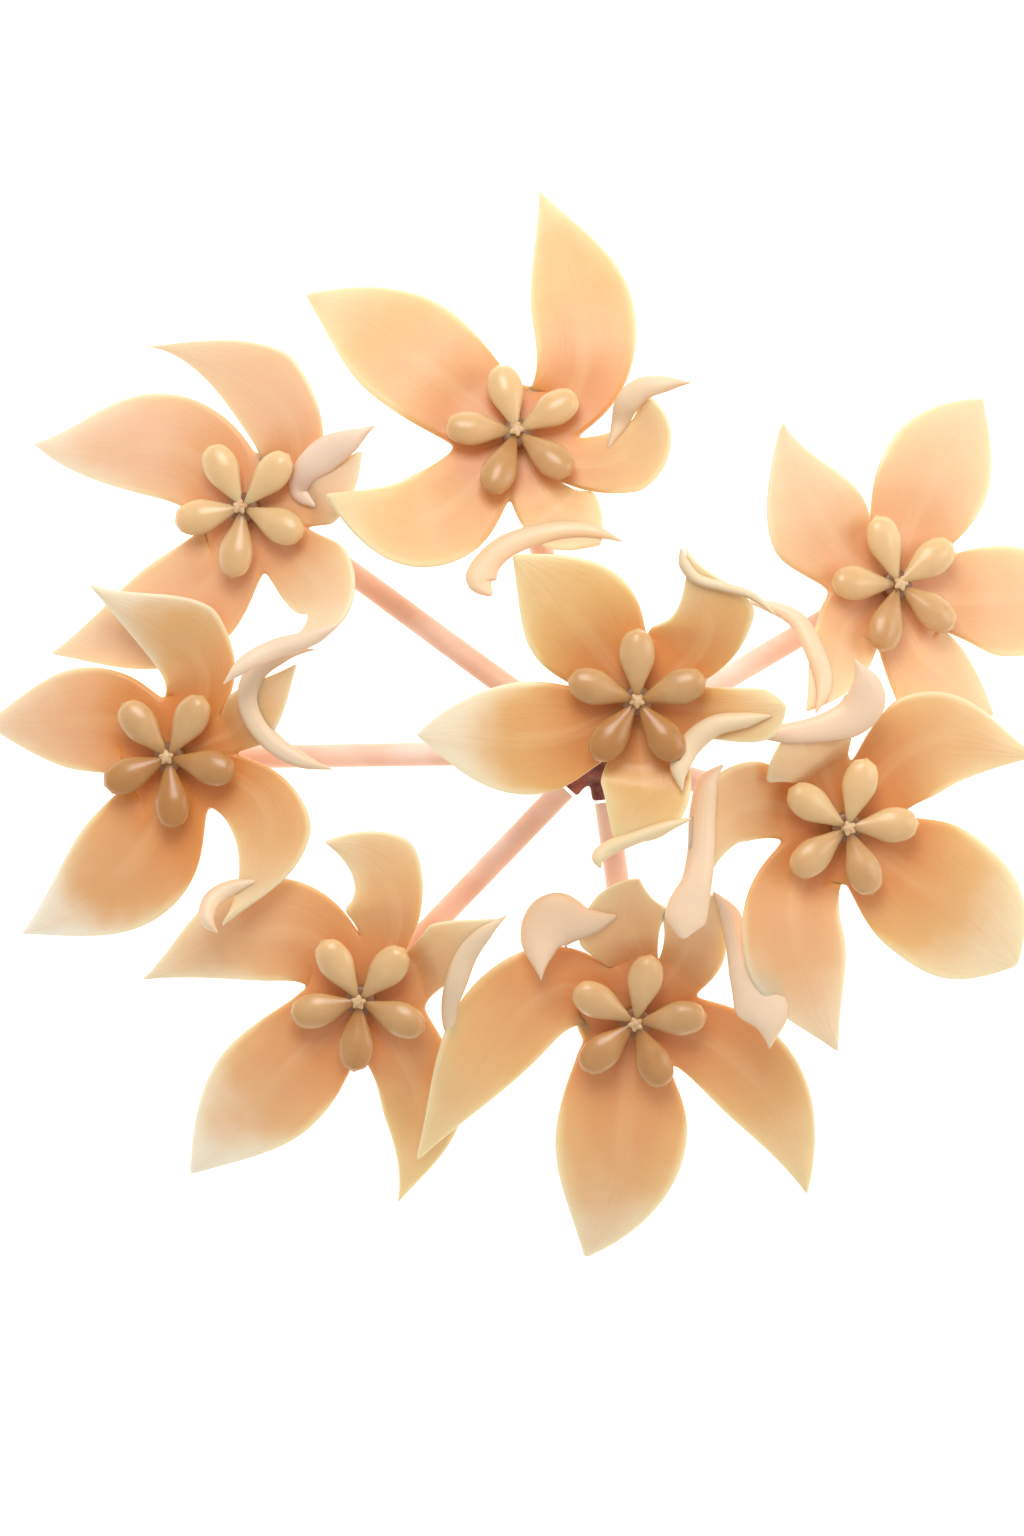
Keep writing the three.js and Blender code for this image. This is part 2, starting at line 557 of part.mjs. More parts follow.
// a pedicel leaves the rachis sideways and turns up behind its flower
function pedicelCurve(flower) {
  const top = pedicelTop(flower);
  const out = top.clone().sub(rachisMiddle);
  out.z *= LEAVE_FLATNESS;
  out.normalize();
  const socket = rachisMiddle.clone().addScaledVector(out, SOCKET_OUT);
  const span = top.distanceTo(socket);
  return new THREE.CubicBezierCurve3(
    socket,
    socket.clone().addScaledVector(out, span * LEAVE_HANDLE),
    top.clone().addScaledVector(facingOf(flower), -span * ARRIVE_HANDLE),
    top);
}

// the rachis: a dark knob with a short socket for each pedicel
function rachisGeometry() {
  const tall = RACHIS_HEIGHT / 2;
  const heights = RACHIS_LEVELS.map((s) => s * tall);
  const girth = (level, angle) => (RACHIS_DIAMETER / 2) * RACHIS_GIRTH[level]
    * (1 + RACHIS_KNOBBLE * Math.cos(3 * angle + level));
  const knob = turned(heights, girth, RACHIS_SIDES).translate(...rachisMiddle.toArray());
  const sockets = Object.values(FLOWERS).map((flower) => {
    const curve = pedicelCurve(flower);
    const mouth = curve.getPoint(0).addScaledVector(curve.getTangent(0), -CLEARANCE);
    const root = rachisMiddle.clone().lerp(mouth, SOCKET_ROOT);
    return stalk(new THREE.LineCurve3(root, mouth), PEDICEL_DIAMETER * SOCKET_GIRTH, 1, STALK_SIDES);
  });
  return joined([knob, ...sockets.map(welded)]);
}

// an extruded stalk with its loose triangles joined, ready for manifold-3d
function welded(geometry) {
  geometry.deleteAttribute('normal');
  geometry.deleteAttribute('uv');
  return mergeVertices(geometry, 1e-4);
}

// the peduncle: the stout stalk under the rachis, cut off square where it meets the surface
function peduncleGeometry() {
  const top = rachisMiddle.z - RACHIS_HEIGHT / 2 - CLEARANCE;
  const girth = (level) => (PEDUNCLE_DIAMETER / 2) * PEDUNCLE_GIRTH[level];
  return turned([0, top / 2, top], girth, PEDUNCLE_SIDES).translate(rachisMiddle.x, rachisMiddle.y, 0);
}

// ---- the umbel ----------------------------------------------------------------------------------
const umbel = new THREE.Group();

function add(parent, name, geometry, material) {
  const mesh = new THREE.Mesh(geometry, material);
  mesh.name = name;
  parent.add(mesh);
}

Object.entries(FLOWERS).forEach(([name, flower]) => {
  const place = new THREE.Group();
  place.position.copy(centreOf(flower));
  umbel.add(place);
  add(place, `corolla_${name}`, thicken(corollaSurface(flower)), petalWax());
  const tilted = new THREE.Group();
  tilted.quaternion.setFromUnitVectors(new THREE.Vector3(0, 0, 1), facingOf(flower));
  place.add(tilted);
  add(tilted, `corona_${name}`, coronaGeometry(flower.coronaTurn), coronaWax());
  add(tilted, `style_head_${name}`, styleHeadGeometry(flower.coronaTurn), styleCream());
  add(tilted, `calyx_${name}`, calyxGeometry(flower.coronaTurn + 36), calyxPink());
  const pedicel = stalk(pedicelCurve(flower), PEDICEL_DIAMETER, PEDICEL_STEPS, STALK_SIDES);
  add(umbel, `pedicel_${name}`, pedicel, pedicelPink());
});
add(umbel, 'rachis', rachisGeometry(), rachisBrown());
add(umbel, 'peduncle', peduncleGeometry(), rachisBrown());

export default umbel;
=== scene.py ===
from math import asin, atan2, cos, pi, radians, sin

import bpy
from mathutils import Matrix, Vector, noise


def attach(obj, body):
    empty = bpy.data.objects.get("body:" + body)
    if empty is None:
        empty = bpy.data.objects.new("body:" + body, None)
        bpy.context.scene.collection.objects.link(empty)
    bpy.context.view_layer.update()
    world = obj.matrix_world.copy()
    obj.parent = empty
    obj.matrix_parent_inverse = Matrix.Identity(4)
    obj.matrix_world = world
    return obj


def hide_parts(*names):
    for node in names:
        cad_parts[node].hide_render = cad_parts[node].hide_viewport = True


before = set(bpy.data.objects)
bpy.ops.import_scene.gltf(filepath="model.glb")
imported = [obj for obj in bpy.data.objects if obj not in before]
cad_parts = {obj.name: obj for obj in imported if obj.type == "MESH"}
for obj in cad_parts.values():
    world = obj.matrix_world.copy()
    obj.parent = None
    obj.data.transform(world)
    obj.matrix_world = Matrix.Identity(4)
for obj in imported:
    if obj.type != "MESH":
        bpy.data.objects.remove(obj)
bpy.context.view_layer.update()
bpy.ops.object.select_all(action="DESELECT")
MM = 0.001

# ---- The camera ---------------------------------------------------------------------------------
# The umbel lies face up, and the camera hangs straight above it, a little to the left of its middle
# and close enough that the outermost lobes pass the edge of the picture.
CAMERA_AT = Vector((-3.5, -4.05, 1200)) * MM
PICTURE_HEIGHT = 138.24 * MM        # what the camera takes in at the level of the flowers
FLOWER_LEVEL = 10 * MM

bpy.ops.object.camera_add(location=CAMERA_AT, rotation=(0, 0, 0))
camera = bpy.context.object
camera.data.sensor_width = 36
camera.data.lens = camera.data.sensor_width * (CAMERA_AT.z - FLOWER_LEVEL) / PICTURE_HEIGHT
camera.data.clip_start = 0.05
bpy.context.scene.camera = camera
bpy.context.scene.view_settings.view_transform = "Standard"


# ---- The table and the light --------------------------------------------------------------------
# A plain white table top that glows a little, so shadows on it stay faint. A bright room and two wide
# soft lamps light the flowers, the stronger one from the far side, and the petals glow.
TABLE_SIDE = 3                      # metres
TABLE_SINK = -0.0002                # a hair below, so what rests on it doesn't flicker
TABLE_GLOW = 0.75
ROOM_BRIGHTNESS = 0.52
LAMP_SIDE = 0.35


def linear(red, green, blue):
    """a colour given in everyday 0 to 255 values, as the shaders want it"""
    parts = [part / 255 for part in (red, green, blue)]
    return (*[p / 12.92 if p <= 0.04045 else ((p + 0.055) / 1.055) ** 2.4 for p in parts], 1)


class Wire:
    """an output socket that can stand in a Python expression, where each operator adds a Math node"""

    def __init__(self, paint, socket):
        self.paint = paint
        self.socket = socket

    def maths(self, operation, *values):
        return self.paint.node("ShaderNodeMath", {"operation": operation}, dict(enumerate(values)))

    def __add__(self, other):
        return self.maths("ADD", self, other)

    def __mul__(self, other):
        return self.maths("MULTIPLY", self, other)

    def __sub__(self, other):
        return self.maths("SUBTRACT", self, other)

    def __rsub__(self, other):
        return self.maths("SUBTRACT", other, self)

    __radd__ = __add__
    __rmul__ = __mul__

    def ramp(self, low, high):
        """0 at low and 1 at high, with a soft start and end"""
        return self.paint.node("ShaderNodeMapRange", {"interpolation_type": "SMOOTHSTEP"},
                               {"Value": self, "From Min": low, "From Max": high})


class Paint:
    """a material being made on a Principled surface"""

    def __init__(self, name, **constants):
        self.material = bpy.data.materials.new(name)
        self.material.use_nodes = True
        self.tree = self.material.node_tree
        self.surface = self.tree.nodes["Principled BSDF"]
        self.give(self.surface, constants)

    def give(self, node, values):
        """links or sets the sockets of a node"""
        for key, value in values.items():
            socket = node.inputs[key.replace("_", " ") if isinstance(key, str) else key]
            if isinstance(value, Wire):
                self.tree.links.new(value.socket, socket)
            else:
                socket.default_value = value

    def node(self, kind, settings, values, out=0):
        """any node: what it is, its settings, and the values or wires of its sockets"""
        made = self.tree.nodes.new(kind)
        for key, value in settings.items():
            setattr(made, key, value)
        self.give(made, values)
        return Wire(self, made.outputs[out])

    def mix(self, share, first, second):
        """one colour turning into another"""
        return self.node("ShaderNodeMix", {"data_type": "RGBA"}, {0: share, 6: first, 7: second}, 2)

    def attribute(self, name):
        return self.node("ShaderNodeAttribute", {"attribute_name": name}, {}, "Fac")

    def place(self, kind="Object"):
        return self.node("ShaderNodeTexCoord", {}, {}, kind)

    def grain(self, where, scale, detail, rough):
        """fine noise, about 0.5 on average"""
        return self.node("ShaderNodeTexNoise", {},
                         {"Vector": where, "Scale": scale, "Detail": detail, "Roughness": rough})

    def stretch(self, where, amounts):
        """a pattern's coordinates drawn out along an axis"""
        return self.node("ShaderNodeMapping", {}, {"Vector": where, "Scale": amounts})

    def bump(self, height, strength, distance):
        return self.node("ShaderNodeBump", {}, {"Strength": strength, "Distance": distance,
                                                "Height": height})

    def finish(self, **wires):
        self.give(self.surface, wires)
        return self.material


bpy.ops.mesh.primitive_grid_add(
    x_subdivisions=4, y_subdivisions=4, size=TABLE_SIDE, location=(0, 0, TABLE_SINK))
table_top = bpy.context.object
table_top.name = "table_top"
bpy.ops.object.transform_apply(location=True, rotation=False, scale=False)
table_paint = Paint("white table top", Base_Color=linear(250, 250, 250), Roughness=0.9)
table_top.data.materials.append(
    table_paint.finish(Emission_Color=(1, 1, 1, 1), Emission_Strength=TABLE_GLOW))

world = bpy.data.worlds.new("bright room")
world.use_nodes = True
world.node_tree.nodes["Background"].inputs["Color"].default_value = (1, 1, 1, 1)
world.node_tree.nodes["Background"].inputs["Strength"].default_value = ROOM_BRIGHTNESS
bpy.context.scene.world = world


def soft_lamp(name, place, power):
    """a square lamp aimed at the umbel"""
    aim = (Vector((0, 0, 0)) - Vector(place)).to_track_quat("-Z", "Y").to_euler()
    bpy.ops.object.light_add(type="AREA", location=place, rotation=aim)
    lamp = bpy.context.object
    lamp.name = name
    lamp.data.size = LAMP_SIDE
    lamp.data.energy = power


soft_lamp("far_lamp", (-0.05, 0.42, 0.55), 2.5)
soft_lamp("right_lamp", (0.55, 0.10, 0.35), 0.9)
bpy.ops.object.select_all(action="DESELECT")


# ---- The corollas -------------------------------------------------------------------------------
# Each corolla is one piece of thick waxy petal tissue: a small disc that parts into five pointed
# lobes. It grows deep apricot round its middle, runs to cream at the tips, and is pinker and duller
# outside. As the flower opens, lobes bend back, and some fold over or roll up along a margin.
DISC_RADIUS = 5.6
PETAL_THICKNESS = 0.85
MARGIN_SHARE = 0.5                  # how much of that thickness is left at the margin
THINNING = 0.25                     # by this share past the disc the margin is thin
COLUMNS = 12                        # faces across a lobe
DISC_ROWS = 3
LOBE_ROWS = 18
LOBE_SHARE = LOBE_ROWS / (LOBE_ROWS + DISC_ROWS)
SEAM = 0.00001                      # metres; points closer than this are one

# How a lobe leaves the disc, widens and curls, mostly as shares of its length.
SETTLE = 0.35                       # by here the middles of its rows lie on the midrib
PART = 0.3                          # by here its width is its own and no longer the disc's
BOW_END = 0.4                       # by here the arc of the disc's edge is gone from its rows
CROWDING = 1.15                     # rows stand closer towards the tip
SECTOR_LIMIT = 1.1                  # the most of its sector, in radians each way, that a lobe fills
ROOM_AT_DISC = 0.96                 # the share of its sector's room that it may take there
ROOM_GAIN = 1.6                     # and how fast that grows
CURL_START = 0.3                    # a curl grows from here
CURL_RUN = 0.25                     # over this much of the midrib
CURL_AT = 0.35                      # how far out from the midrib a curl begins
FULLNESS = 0.65                     # how fast a lobe widens; 1 is a plain sine
RIB_STEPS = 40                      # chords that measure a midrib
RIB_SEARCH = 0.002                  # steps in the search for where it leaves the disc


def lobe(third, two_thirds, tip, left, right, **habit):
    """a lobe's midrib by three points, its half widths, and how it curls and colours"""
    # besides its pink blush, a lobe carries a painted sheen, a whitish highlight laid towards its tip
    usual = dict(widest=0.5, taper=0.25, curl_left=0, curl_right=0, blush=0.15, pale=0.25, fold=None)
    return {**usual, "midrib": (third, two_thirds, tip), "half": (left, right), **habit}


# Each flower: its centre, the way it faces (degrees round from +X, and degrees from straight up), how
# far its corona is turned, and its lobes counter-clockwise. A midrib passes through a third of the
# way, two thirds and the tip, given from the flower's centre with the lift above the flower's plane.
# A fold is a run of points with any rise above the lobe and the half width there.
FLOWERS = {
    "front": dict(at=(7.6, 1.9, 24), facing=0, tilt=0, corona_turn=18, lobes=[
        lobe((6.1, 4.9, 1), (6.1, 9.2, 2), (4.3, 13.8, 3), 5.6, 6.2, widest=0.38, taper=0.9,
             curl_right=10, blush=0.1, pale=0.1, fold=((3.9, 13.6, 0.1, 0.25), (4.2, 12.1, 0.1, 0.5),
             (5.4, 10.8, 0.1, 0.5), (7.7, 10.1, 0.1, 0.45), (10.2, 9.3, 0.1, 0.35),
             (12.4, 7.5, 0.1, 0.15))),
        lobe((-3.7, 5.1, 0.8), (-7.1, 9.2, 1.2), (-11.1, 13, 1), 5, 5.6, blush=0, pale=0.05),
        lobe((-6.3, -3, 0.5), (-13, -3.2, 0), (-19.6, -3, -2), 5.1, 5.1, taper=0.1, blush=0.05,
             pale=0.6),
        lobe((0.7, -5, 0.5), (0.5, -8.6, 1), (-2.1, -12.2, 0.5), 4.1, 4, widest=0.6, taper=-0.1,
             blush=0, pale=0.05, fold=((4.9, -10.4, 0, 0.3), (2.2, -11.3, 0, 0.55),
             (-0.3, -12.2, 0, 0.6), (-2.3, -13, 0, 0.7), (-3.4, -13.9, 0, 0.65),
             (-3.2, -14.9, 0, 0.2))),
        lobe((5, -0.4, 0.5), (9.3, -0.8, 1.5), (13.3, -0.4, 2.2), 2, 2.9, widest=0.74, taper=-0.6,
             blush=0.1, pale=0.1, fold=((12, -1.3, 0, 0.3), (9.6, -1.7, 0.3, 0.7),
             (6.9, -2.2, 0.8, 0.95), (4.8, -3.8, 1.2, 1.05), (3.8, -5.8, 1.4, 0.9),
             (4, -8.1, 1.4, 0.2))),
    ]),
    "left_upper": dict(at=(-27.1, 19.2, 9.5), facing=165, tilt=18, corona_turn=-25, lobes=[
        lobe((3.6, 0.4, 0.8), (6.8, 1.8, 1.6), (10.1, 5.2, 2.2), 2.4, 3.2, blush=0.5, pale=0.2,
             fold=((6.1, 0.2, 0, 0.5), (4.6, 1.6, 0, 1), (5, 3.4, 0.1, 1.3), (6.8, 4.9, 0.2, 1.6),
             (9, 6.1, 0.3, 1.1), (11.4, 7.5, 0.3, 0.12))),
        lobe((4.2, 7.2, 1), (-1.6, 12.8, 0.5), (-9.6, 14.8, -1), 4.3, 4.3, widest=0.4, taper=0.85,
             blush=0.6, pale=0.15),
        lobe((-6.6, 5.4, 0.5), (-13.2, 5.8, -0.4), (-19.8, 6.2, -2.4), 4.7, 5, widest=0.4, taper=0.3,
             blush=0.75, pale=0.55),
        lobe((-2.9, -6.1, 0.3), (-9.9, -10.3, -0.8), (-18.2, -12.9, -3.9), 5.2, 4.8, widest=0.42,
             taper=0.5, blush=0.5, pale=0.25),
        lobe((5, -5, 1.2), (7, -8.8, 2.8), (4.3, -11.7, 4), 3.9, 3.7, widest=0.5, taper=0.1,
             blush=0.35, pale=0.15, fold=((8.1, -10.4, 0, 0.35), (5.4, -11.7, 0, 0.75),
             (2.3, -12.6, 0, 0.9), (-0.3, -13.9, 0, 0.75), (-2.3, -15.8, 0, 0.15))),
    ]),
    "top": dict(at=(-3.1, 25.5, 11), facing=90, tilt=18, corona_turn=32, lobes=[
        lobe((6.7, -2.5, 0.5), (11.2, -0.4, 1.8), (11.2, 4.1, 4), 3, 3.8, widest=0.52, taper=-0.1,
             blush=0.2, pale=0.05, fold=((8.2, -0.9, 0, 0.2), (9.2, 1.3, 0, 0.75),
             (9.9, 3.2, 0, 1.15), (11.3, 4.5, 0.1, 1.1), (13.4, 4.9, 0.2, 0.75), (15.8, 5, 0.2, 0.12))),
        lobe((5.9, 5.9, 1), (5.2, 14.4, 0.5), (2, 22.9, -3.2), 4.6, 4.8, widest=0.5, taper=0.6,
             blush=0.05, pale=0.1),
        lobe((-5.5, 4.5, 0.8), (-11.3, 9.2, 0.3), (-19.1, 13.2, -2.5), 5.4, 5.4, taper=0.2, blush=0.1,
             pale=0.15),
        lobe((-5.5, -5.8, 0.5), (-10.4, -7.4, 1), (-17.2, -5, 3.5), 4.8, 4.4, blush=0.1, pale=0.05),
        lobe((2.2, -4.5, -0.5), (4.5, -7, 0), (7.6, -9.5, 0.5), 3.4, 3.6, widest=0.66, taper=0,
             blush=0.15, pale=0.05, fold=((9.6, -9.3, 0, 0.15), (7.6, -8.5, 0, 0.55),
             (5, -8.1, 0, 0.8), (2.2, -8.5, 0, 0.95), (-0.7, -9.5, 0, 1.1), (-2.5, -11, 0, 1.2),
             (-3.2, -12.8, 0, 1.4), (-2.2, -14.1, 0, 0.6))),
    ]),
    "right_upper": dict(at=(30.5, 12.2, 10.5), facing=20, tilt=20, corona_turn=36, lobes=[
        lobe((5, -1.2, 0.5), (11.7, -1.2, -0.5), (20.7, -2.5, -3.3), 5.1, 5.1, blush=0.15, pale=0.1),
        lobe((2, 5.8, 0.8), (5.4, 12.3, 0.3), (8.5, 17.1, -0.5), 5.3, 5.3, widest=0.55, taper=0,
             blush=0.4, pale=0.1),
        lobe((-5, 4.2, 1), (-8.5, 10.5, 1.5), (-9.7, 14.8, 2), 5.8, 5, widest=0.42, taper=0.5,
             blush=0.45, pale=0.2),
        lobe((-3.6, -3.1, 0), (-5.2, -6.6, 0.3), (-7.6, -11.2, 1), 3.5, 2.6, blush=0.2, pale=0.1,
             fold=((-13.3, -1.2, 0, 0.25), (-10.4, -1.9, 0, 0.6), (-8.3, -3.1, 0, 0.85),
             (-6.8, -5.8, 0, 0.95), (-6, -8.7, 0, 0.8), (-6.8, -11.4, 0, 0.25))),
        lobe((2, -5.2, 0), (5.4, -8.4, -0.5), (9.4, -11.5, -2), 3.4, 5, blush=0.3, pale=0.1),
    ]),
    "right_lower": dict(at=(26.2, -9.2, 14.5), facing=-30, tilt=10, corona_turn=3, lobes=[
        lobe((5.7, 6.6, 0.8), (11.1, 7.5, 0), (17.6, 6.2, -1.5), 4.8, 4.8, widest=0.45, taper=0.5,
             blush=0.15, pale=0.1),
        lobe((-0.9, 3.5, 1.2), (-2.4, 6.1, 2.6), (-4.5, 9.1, 3.6), 5.3, 4.8, widest=0.66, taper=-0.2,
             blush=0.3, pale=0.1, fold=((0.8, 15, 1, 0.15), (1.8, 12.9, 0.9, 1.3),
             (1.8, 11, 0.7, 1.9), (0.4, 9.5, 0.4, 1.7), (-2.4, 8.6, 0.1, 1.2), (-5.6, 8.2, 0, 0.85),
             (-9.4, 8.1, 0, 0.15))),
        lobe((-5.4, 1.7, 1.2), (-10.3, 1.2, 3), (-13.1, -6, 4.6), 3.4, 3.9, widest=0.5, taper=0.3,
             blush=0.25, pale=0.1, fold=((-10.8, 5.5, 0, 0.3), (-12.2, 3.9, 0, 0.95),
             (-12.7, 0.9, 0.1, 1.2), (-12.8, -2.2, 0.2, 1.25), (-13.2, -5, 0.3, 1.4),
             (-13.9, -7.1, 0.4, 1.85), (-14.3, -8.7, 0.4, 1.8), (-14.5, -10.1, 0.4, 0.8))),
        lobe((-4.5, -6.1, 0.6), (-3.8, -12.9, 0.6), (-0.4, -20.4, -1), 4.7, 4.7, widest=0.55,
             taper=0.5, blush=0.35, pale=0.3),
        lobe((4.3, -3.3, 0.5), (10.2, -7.8, 0), (15.8, -12.6, -2), 6.5, 6.3, taper=-0.5, blush=0.05,
             pale=0.35),
    ]),
    "left_lower": dict(at=(-16.9, -24.7, 8.5), facing=-135, tilt=12, corona_turn=-23, lobes=[
        lobe((3.8, 2.6, 1.2), (7.5, 4.8, 2.8), (12, 7.1, 4.2), 2.5, 3.2, widest=0.5, taper=0.3,
             blush=0.2, pale=0.1, fold=((13, 7.5, 0, 0.15), (11.1, 6, 0, 0.65), (9.4, 4, 0, 0.95),
             (8.4, 1.5, 0, 1), (7.8, -0.7, 0, 0.8), (7.9, -2.8, 0, 0.65), (8.8, -3.9, 0, 0.5))),
        lobe((3.3, 6.5, 1), (2, 11.6, 1), (-3.5, 14, 2), 5.2, 5, widest=0.45, taper=0.4, blush=0.15,
             pale=0.2),
        lobe((-5.9, 5.9, 0.8), (-12.7, 5, 0.3), (-20.1, 1.5, -1.5), 4.8, 4.8, widest=0.45, taper=0.6,
             blush=0.25, pale=0.45),
        lobe((-5, -4.6, 0.5), (-10, -9.3, -0.3), (-15.8, -16.2, -3.3), 5.5, 5, widest=0.48,
             taper=0.25, blush=0.2, pale=0.85),
        lobe((3.8, -5.7, -0.6), (5, -11.5, -3), (3, -18.8, -4), 4.2, 3.4, widest=0.5, taper=0.6,
             blush=0, pale=0),
    ]),
    "bottom": dict(at=(7.6, -26.5, 9), facing=-90, tilt=12, corona_turn=6, lobes=[
        lobe((3, 3.8, 0.8), (5.3, 7.4, 1.8), (7.3, 11.2, 2.6), 4.4, 3.6, widest=0.55, taper=0.2,
             blush=0.25, pale=0.15, fold=((6.9, 11.4, 0, 0.3), (8.4, 9.3, 0.2, 0.95),
             (9.1, 6.5, 1.2, 1.05), (9.9, 4, 2.2, 1.6), (11.2, 1.7, 3, 2.6), (12, -0.4, 3.4, 1.6),
             (12, -2.8, 3.4, 0.2))),
        lobe((0.7, 4.7, 1), (-0.3, 8.7, 1.7), (0.4, 12.5, 2.2), 5.2, 4.2, widest=0.6, taper=0.1,
             blush=0.25, pale=0.1, fold=((-1.7, 9.2, 0, 0.4), (-4.2, 8.6, 0, 1.3),
             (-7, 8.6, 0.3, 2.7), (-8.5, 6.9, 0.6, 1.9), (-8.5, 3.3, 0.6, 0.12))),
        lobe((-6.8, 2.6, 0.5), (-12.6, -2.1, 0.9), (-19.8, -13.1, 1.3), 4.2, 4.9, widest=0.45,
             taper=0.5, blush=0.05, pale=0.05),
        lobe((-0.8, -7, 0.3), (-1.9, -14.7, -0.5), (-4.5, -21.9, -4), 6, 6, widest=0.45, taper=0.2,
             blush=0.1, pale=0.4),
        lobe((7.2, -2.5, 0), (12.6, -8.4, -1), (15.6, -16.2, -3), 4.4, 4, widest=0.45, taper=0.3,
             blush=0.05, pale=0.1),
    ]),
    "left": dict(at=(-33.9, -3.1, 8.5), facing=180, tilt=14, corona_turn=-13, lobes=[
        lobe((4.6, 2, 1), (7.9, 4.7, 2), (11.1, 8.4, 2.6), 2.8, 2.8, widest=0.5, taper=0.4, blush=0.2,
             pale=0.15, fold=((12.8, 9.7, 0, 0.15), (10, 9.2, 0, 0.65), (7.6, 7.9, 0, 0.95),
             (6.7, 5.6, 0, 1.05), (7.4, 3.1, 0, 1), (9.3, 1, 0, 0.9), (11.8, -0.4, 0, 0.7),
             (14.4, -1.1, 0, 0.15))),
        lobe((2.9, 7.6, 1), (-0.8, 11.6, 1.5), (-7.8, 15.7, 3), 4.2, 4.6, widest=0.4, taper=0.6,
             blush=0.2, pale=0.5),
        lobe((-5, 3.1, 0.5), (-11.2, 3.4, -0.5), (-17.3, 3.1, -3.8), 4.8, 4.8, widest=0.42, taper=0.4,
             blush=0.45, pale=0.35),
        lobe((-1.4, -6.1, 0.3), (-6.7, -11.5, -0.8), (-14.1, -16, -4.4), 5.8, 5.3, widest=0.42,
             taper=0.5, blush=0.25, pale=0.9),
        lobe((7.9, -3.9, 0.5), (7.9, -9.8, 1), (4.3, -15.1, 3), 4.3, 3.9, widest=0.45, taper=0.8,
             blush=0.2, pale=0.1, fold=((7.4, -11.1, 0, 0.35), (5, -11.8, 0, 0.75),
             (3.4, -12.9, 0, 0.85), (3, -14.5, 0, 0.7), (4, -15.8, 0, 0.2))),
    ]),
}


def facing_of(flower):
    """the direction that a flower faces"""
    turn, lean = radians(flower["facing"]), radians(flower["tilt"])
    return Vector((cos(turn) * sin(lean), sin(turn) * sin(lean), cos(lean)))


def ease(x):
    x = min(1, max(0, x))
    return x * x * (3 - 2 * x)


def midrib_of(made, facing):
    """the midrib as a cubic curve from the flower's centre: its three further control points"""
    a, b, tip = (Vector((x, y, lift - (facing.x * x + facing.y * y) / facing.z))
                 for x, y, lift in made["midrib"])
    return 3 * a - 1.5 * b + tip / 3, 3 * b - 1.5 * a - 5 / 6 * tip, tip


def point_on(rib, t):
    first, second, tip = rib
    return 3 * (1 - t) ** 2 * t * first + 3 * (1 - t) * t * t * second + t ** 3 * tip


def tangent_on(rib, t):
    first, second, tip = rib
    way = 3 * (1 - t) ** 2 * first + 6 * (1 - t) * t * (second - first) + 3 * t * t * (tip - second)
    return way.normalized()


def length_shares(rib):
    """how far along its length the midrib is, from 0 to 1, at each step"""
    points = [point_on(rib, k / RIB_STEPS) for k in range(RIB_STEPS + 1)]
    sums = [0]
    for before, after in zip(points, points[1:]):
        sums.append(sums[-1] + (after - before).length)
    return [s / sums[-1] for s in sums]


def outline(along, widest, taper):
    """share of the half width: quick to widen, then in to the tip"""
    if along < widest:
        return sin(pi / 2 * along / widest) ** FULLNESS
    past = (along - widest) / (1 - widest)
    return (1 - taper) * (1 - past * past) + taper * (0.5 + 0.5 * cos(pi * past))


def across(share, curl, steps=10):
    """how far over and how far up a point lies, once the margin is curled"""
    over = up = 0
    for k in range(steps):
        x = (k + 0.5) / steps * share
        turn = curl * ease((x - CURL_AT) / (1 - CURL_AT))
        over += cos(turn) * share / steps
        up += sin(turn) * share / steps
    return over, up


def lobe_plans(flower):
    """where each midrib leaves the disc, and the half angles of the disc on its left and right"""
    facing = facing_of(flower)
    east = Vector((0, 1, 0)).cross(facing).normalized()
    north = facing.cross(east)
    plans = []
    for made in flower["lobes"]:
        rib = midrib_of(made, facing)
        start = 0
        while point_on(rib, start).length < DISC_RADIUS:
            start += RIB_SEARCH
        leave = point_on(rib, start)
        angle = atan2(leave.dot(north), leave.dot(east))
        plans.append(dict(made=made, rib=rib, start=start, angle=angle, shares=length_shares(rib)))
    for plan, after, before in zip(plans, plans[1:] + plans[:1], plans[-1:] + plans[:-1]):
        plan["left"] = (after["angle"] - plan["angle"]) % (2 * pi) / 2
        plan["right"] = (plan["angle"] - before["angle"]) % (2 * pi) / 2
    return facing, east, north, plans


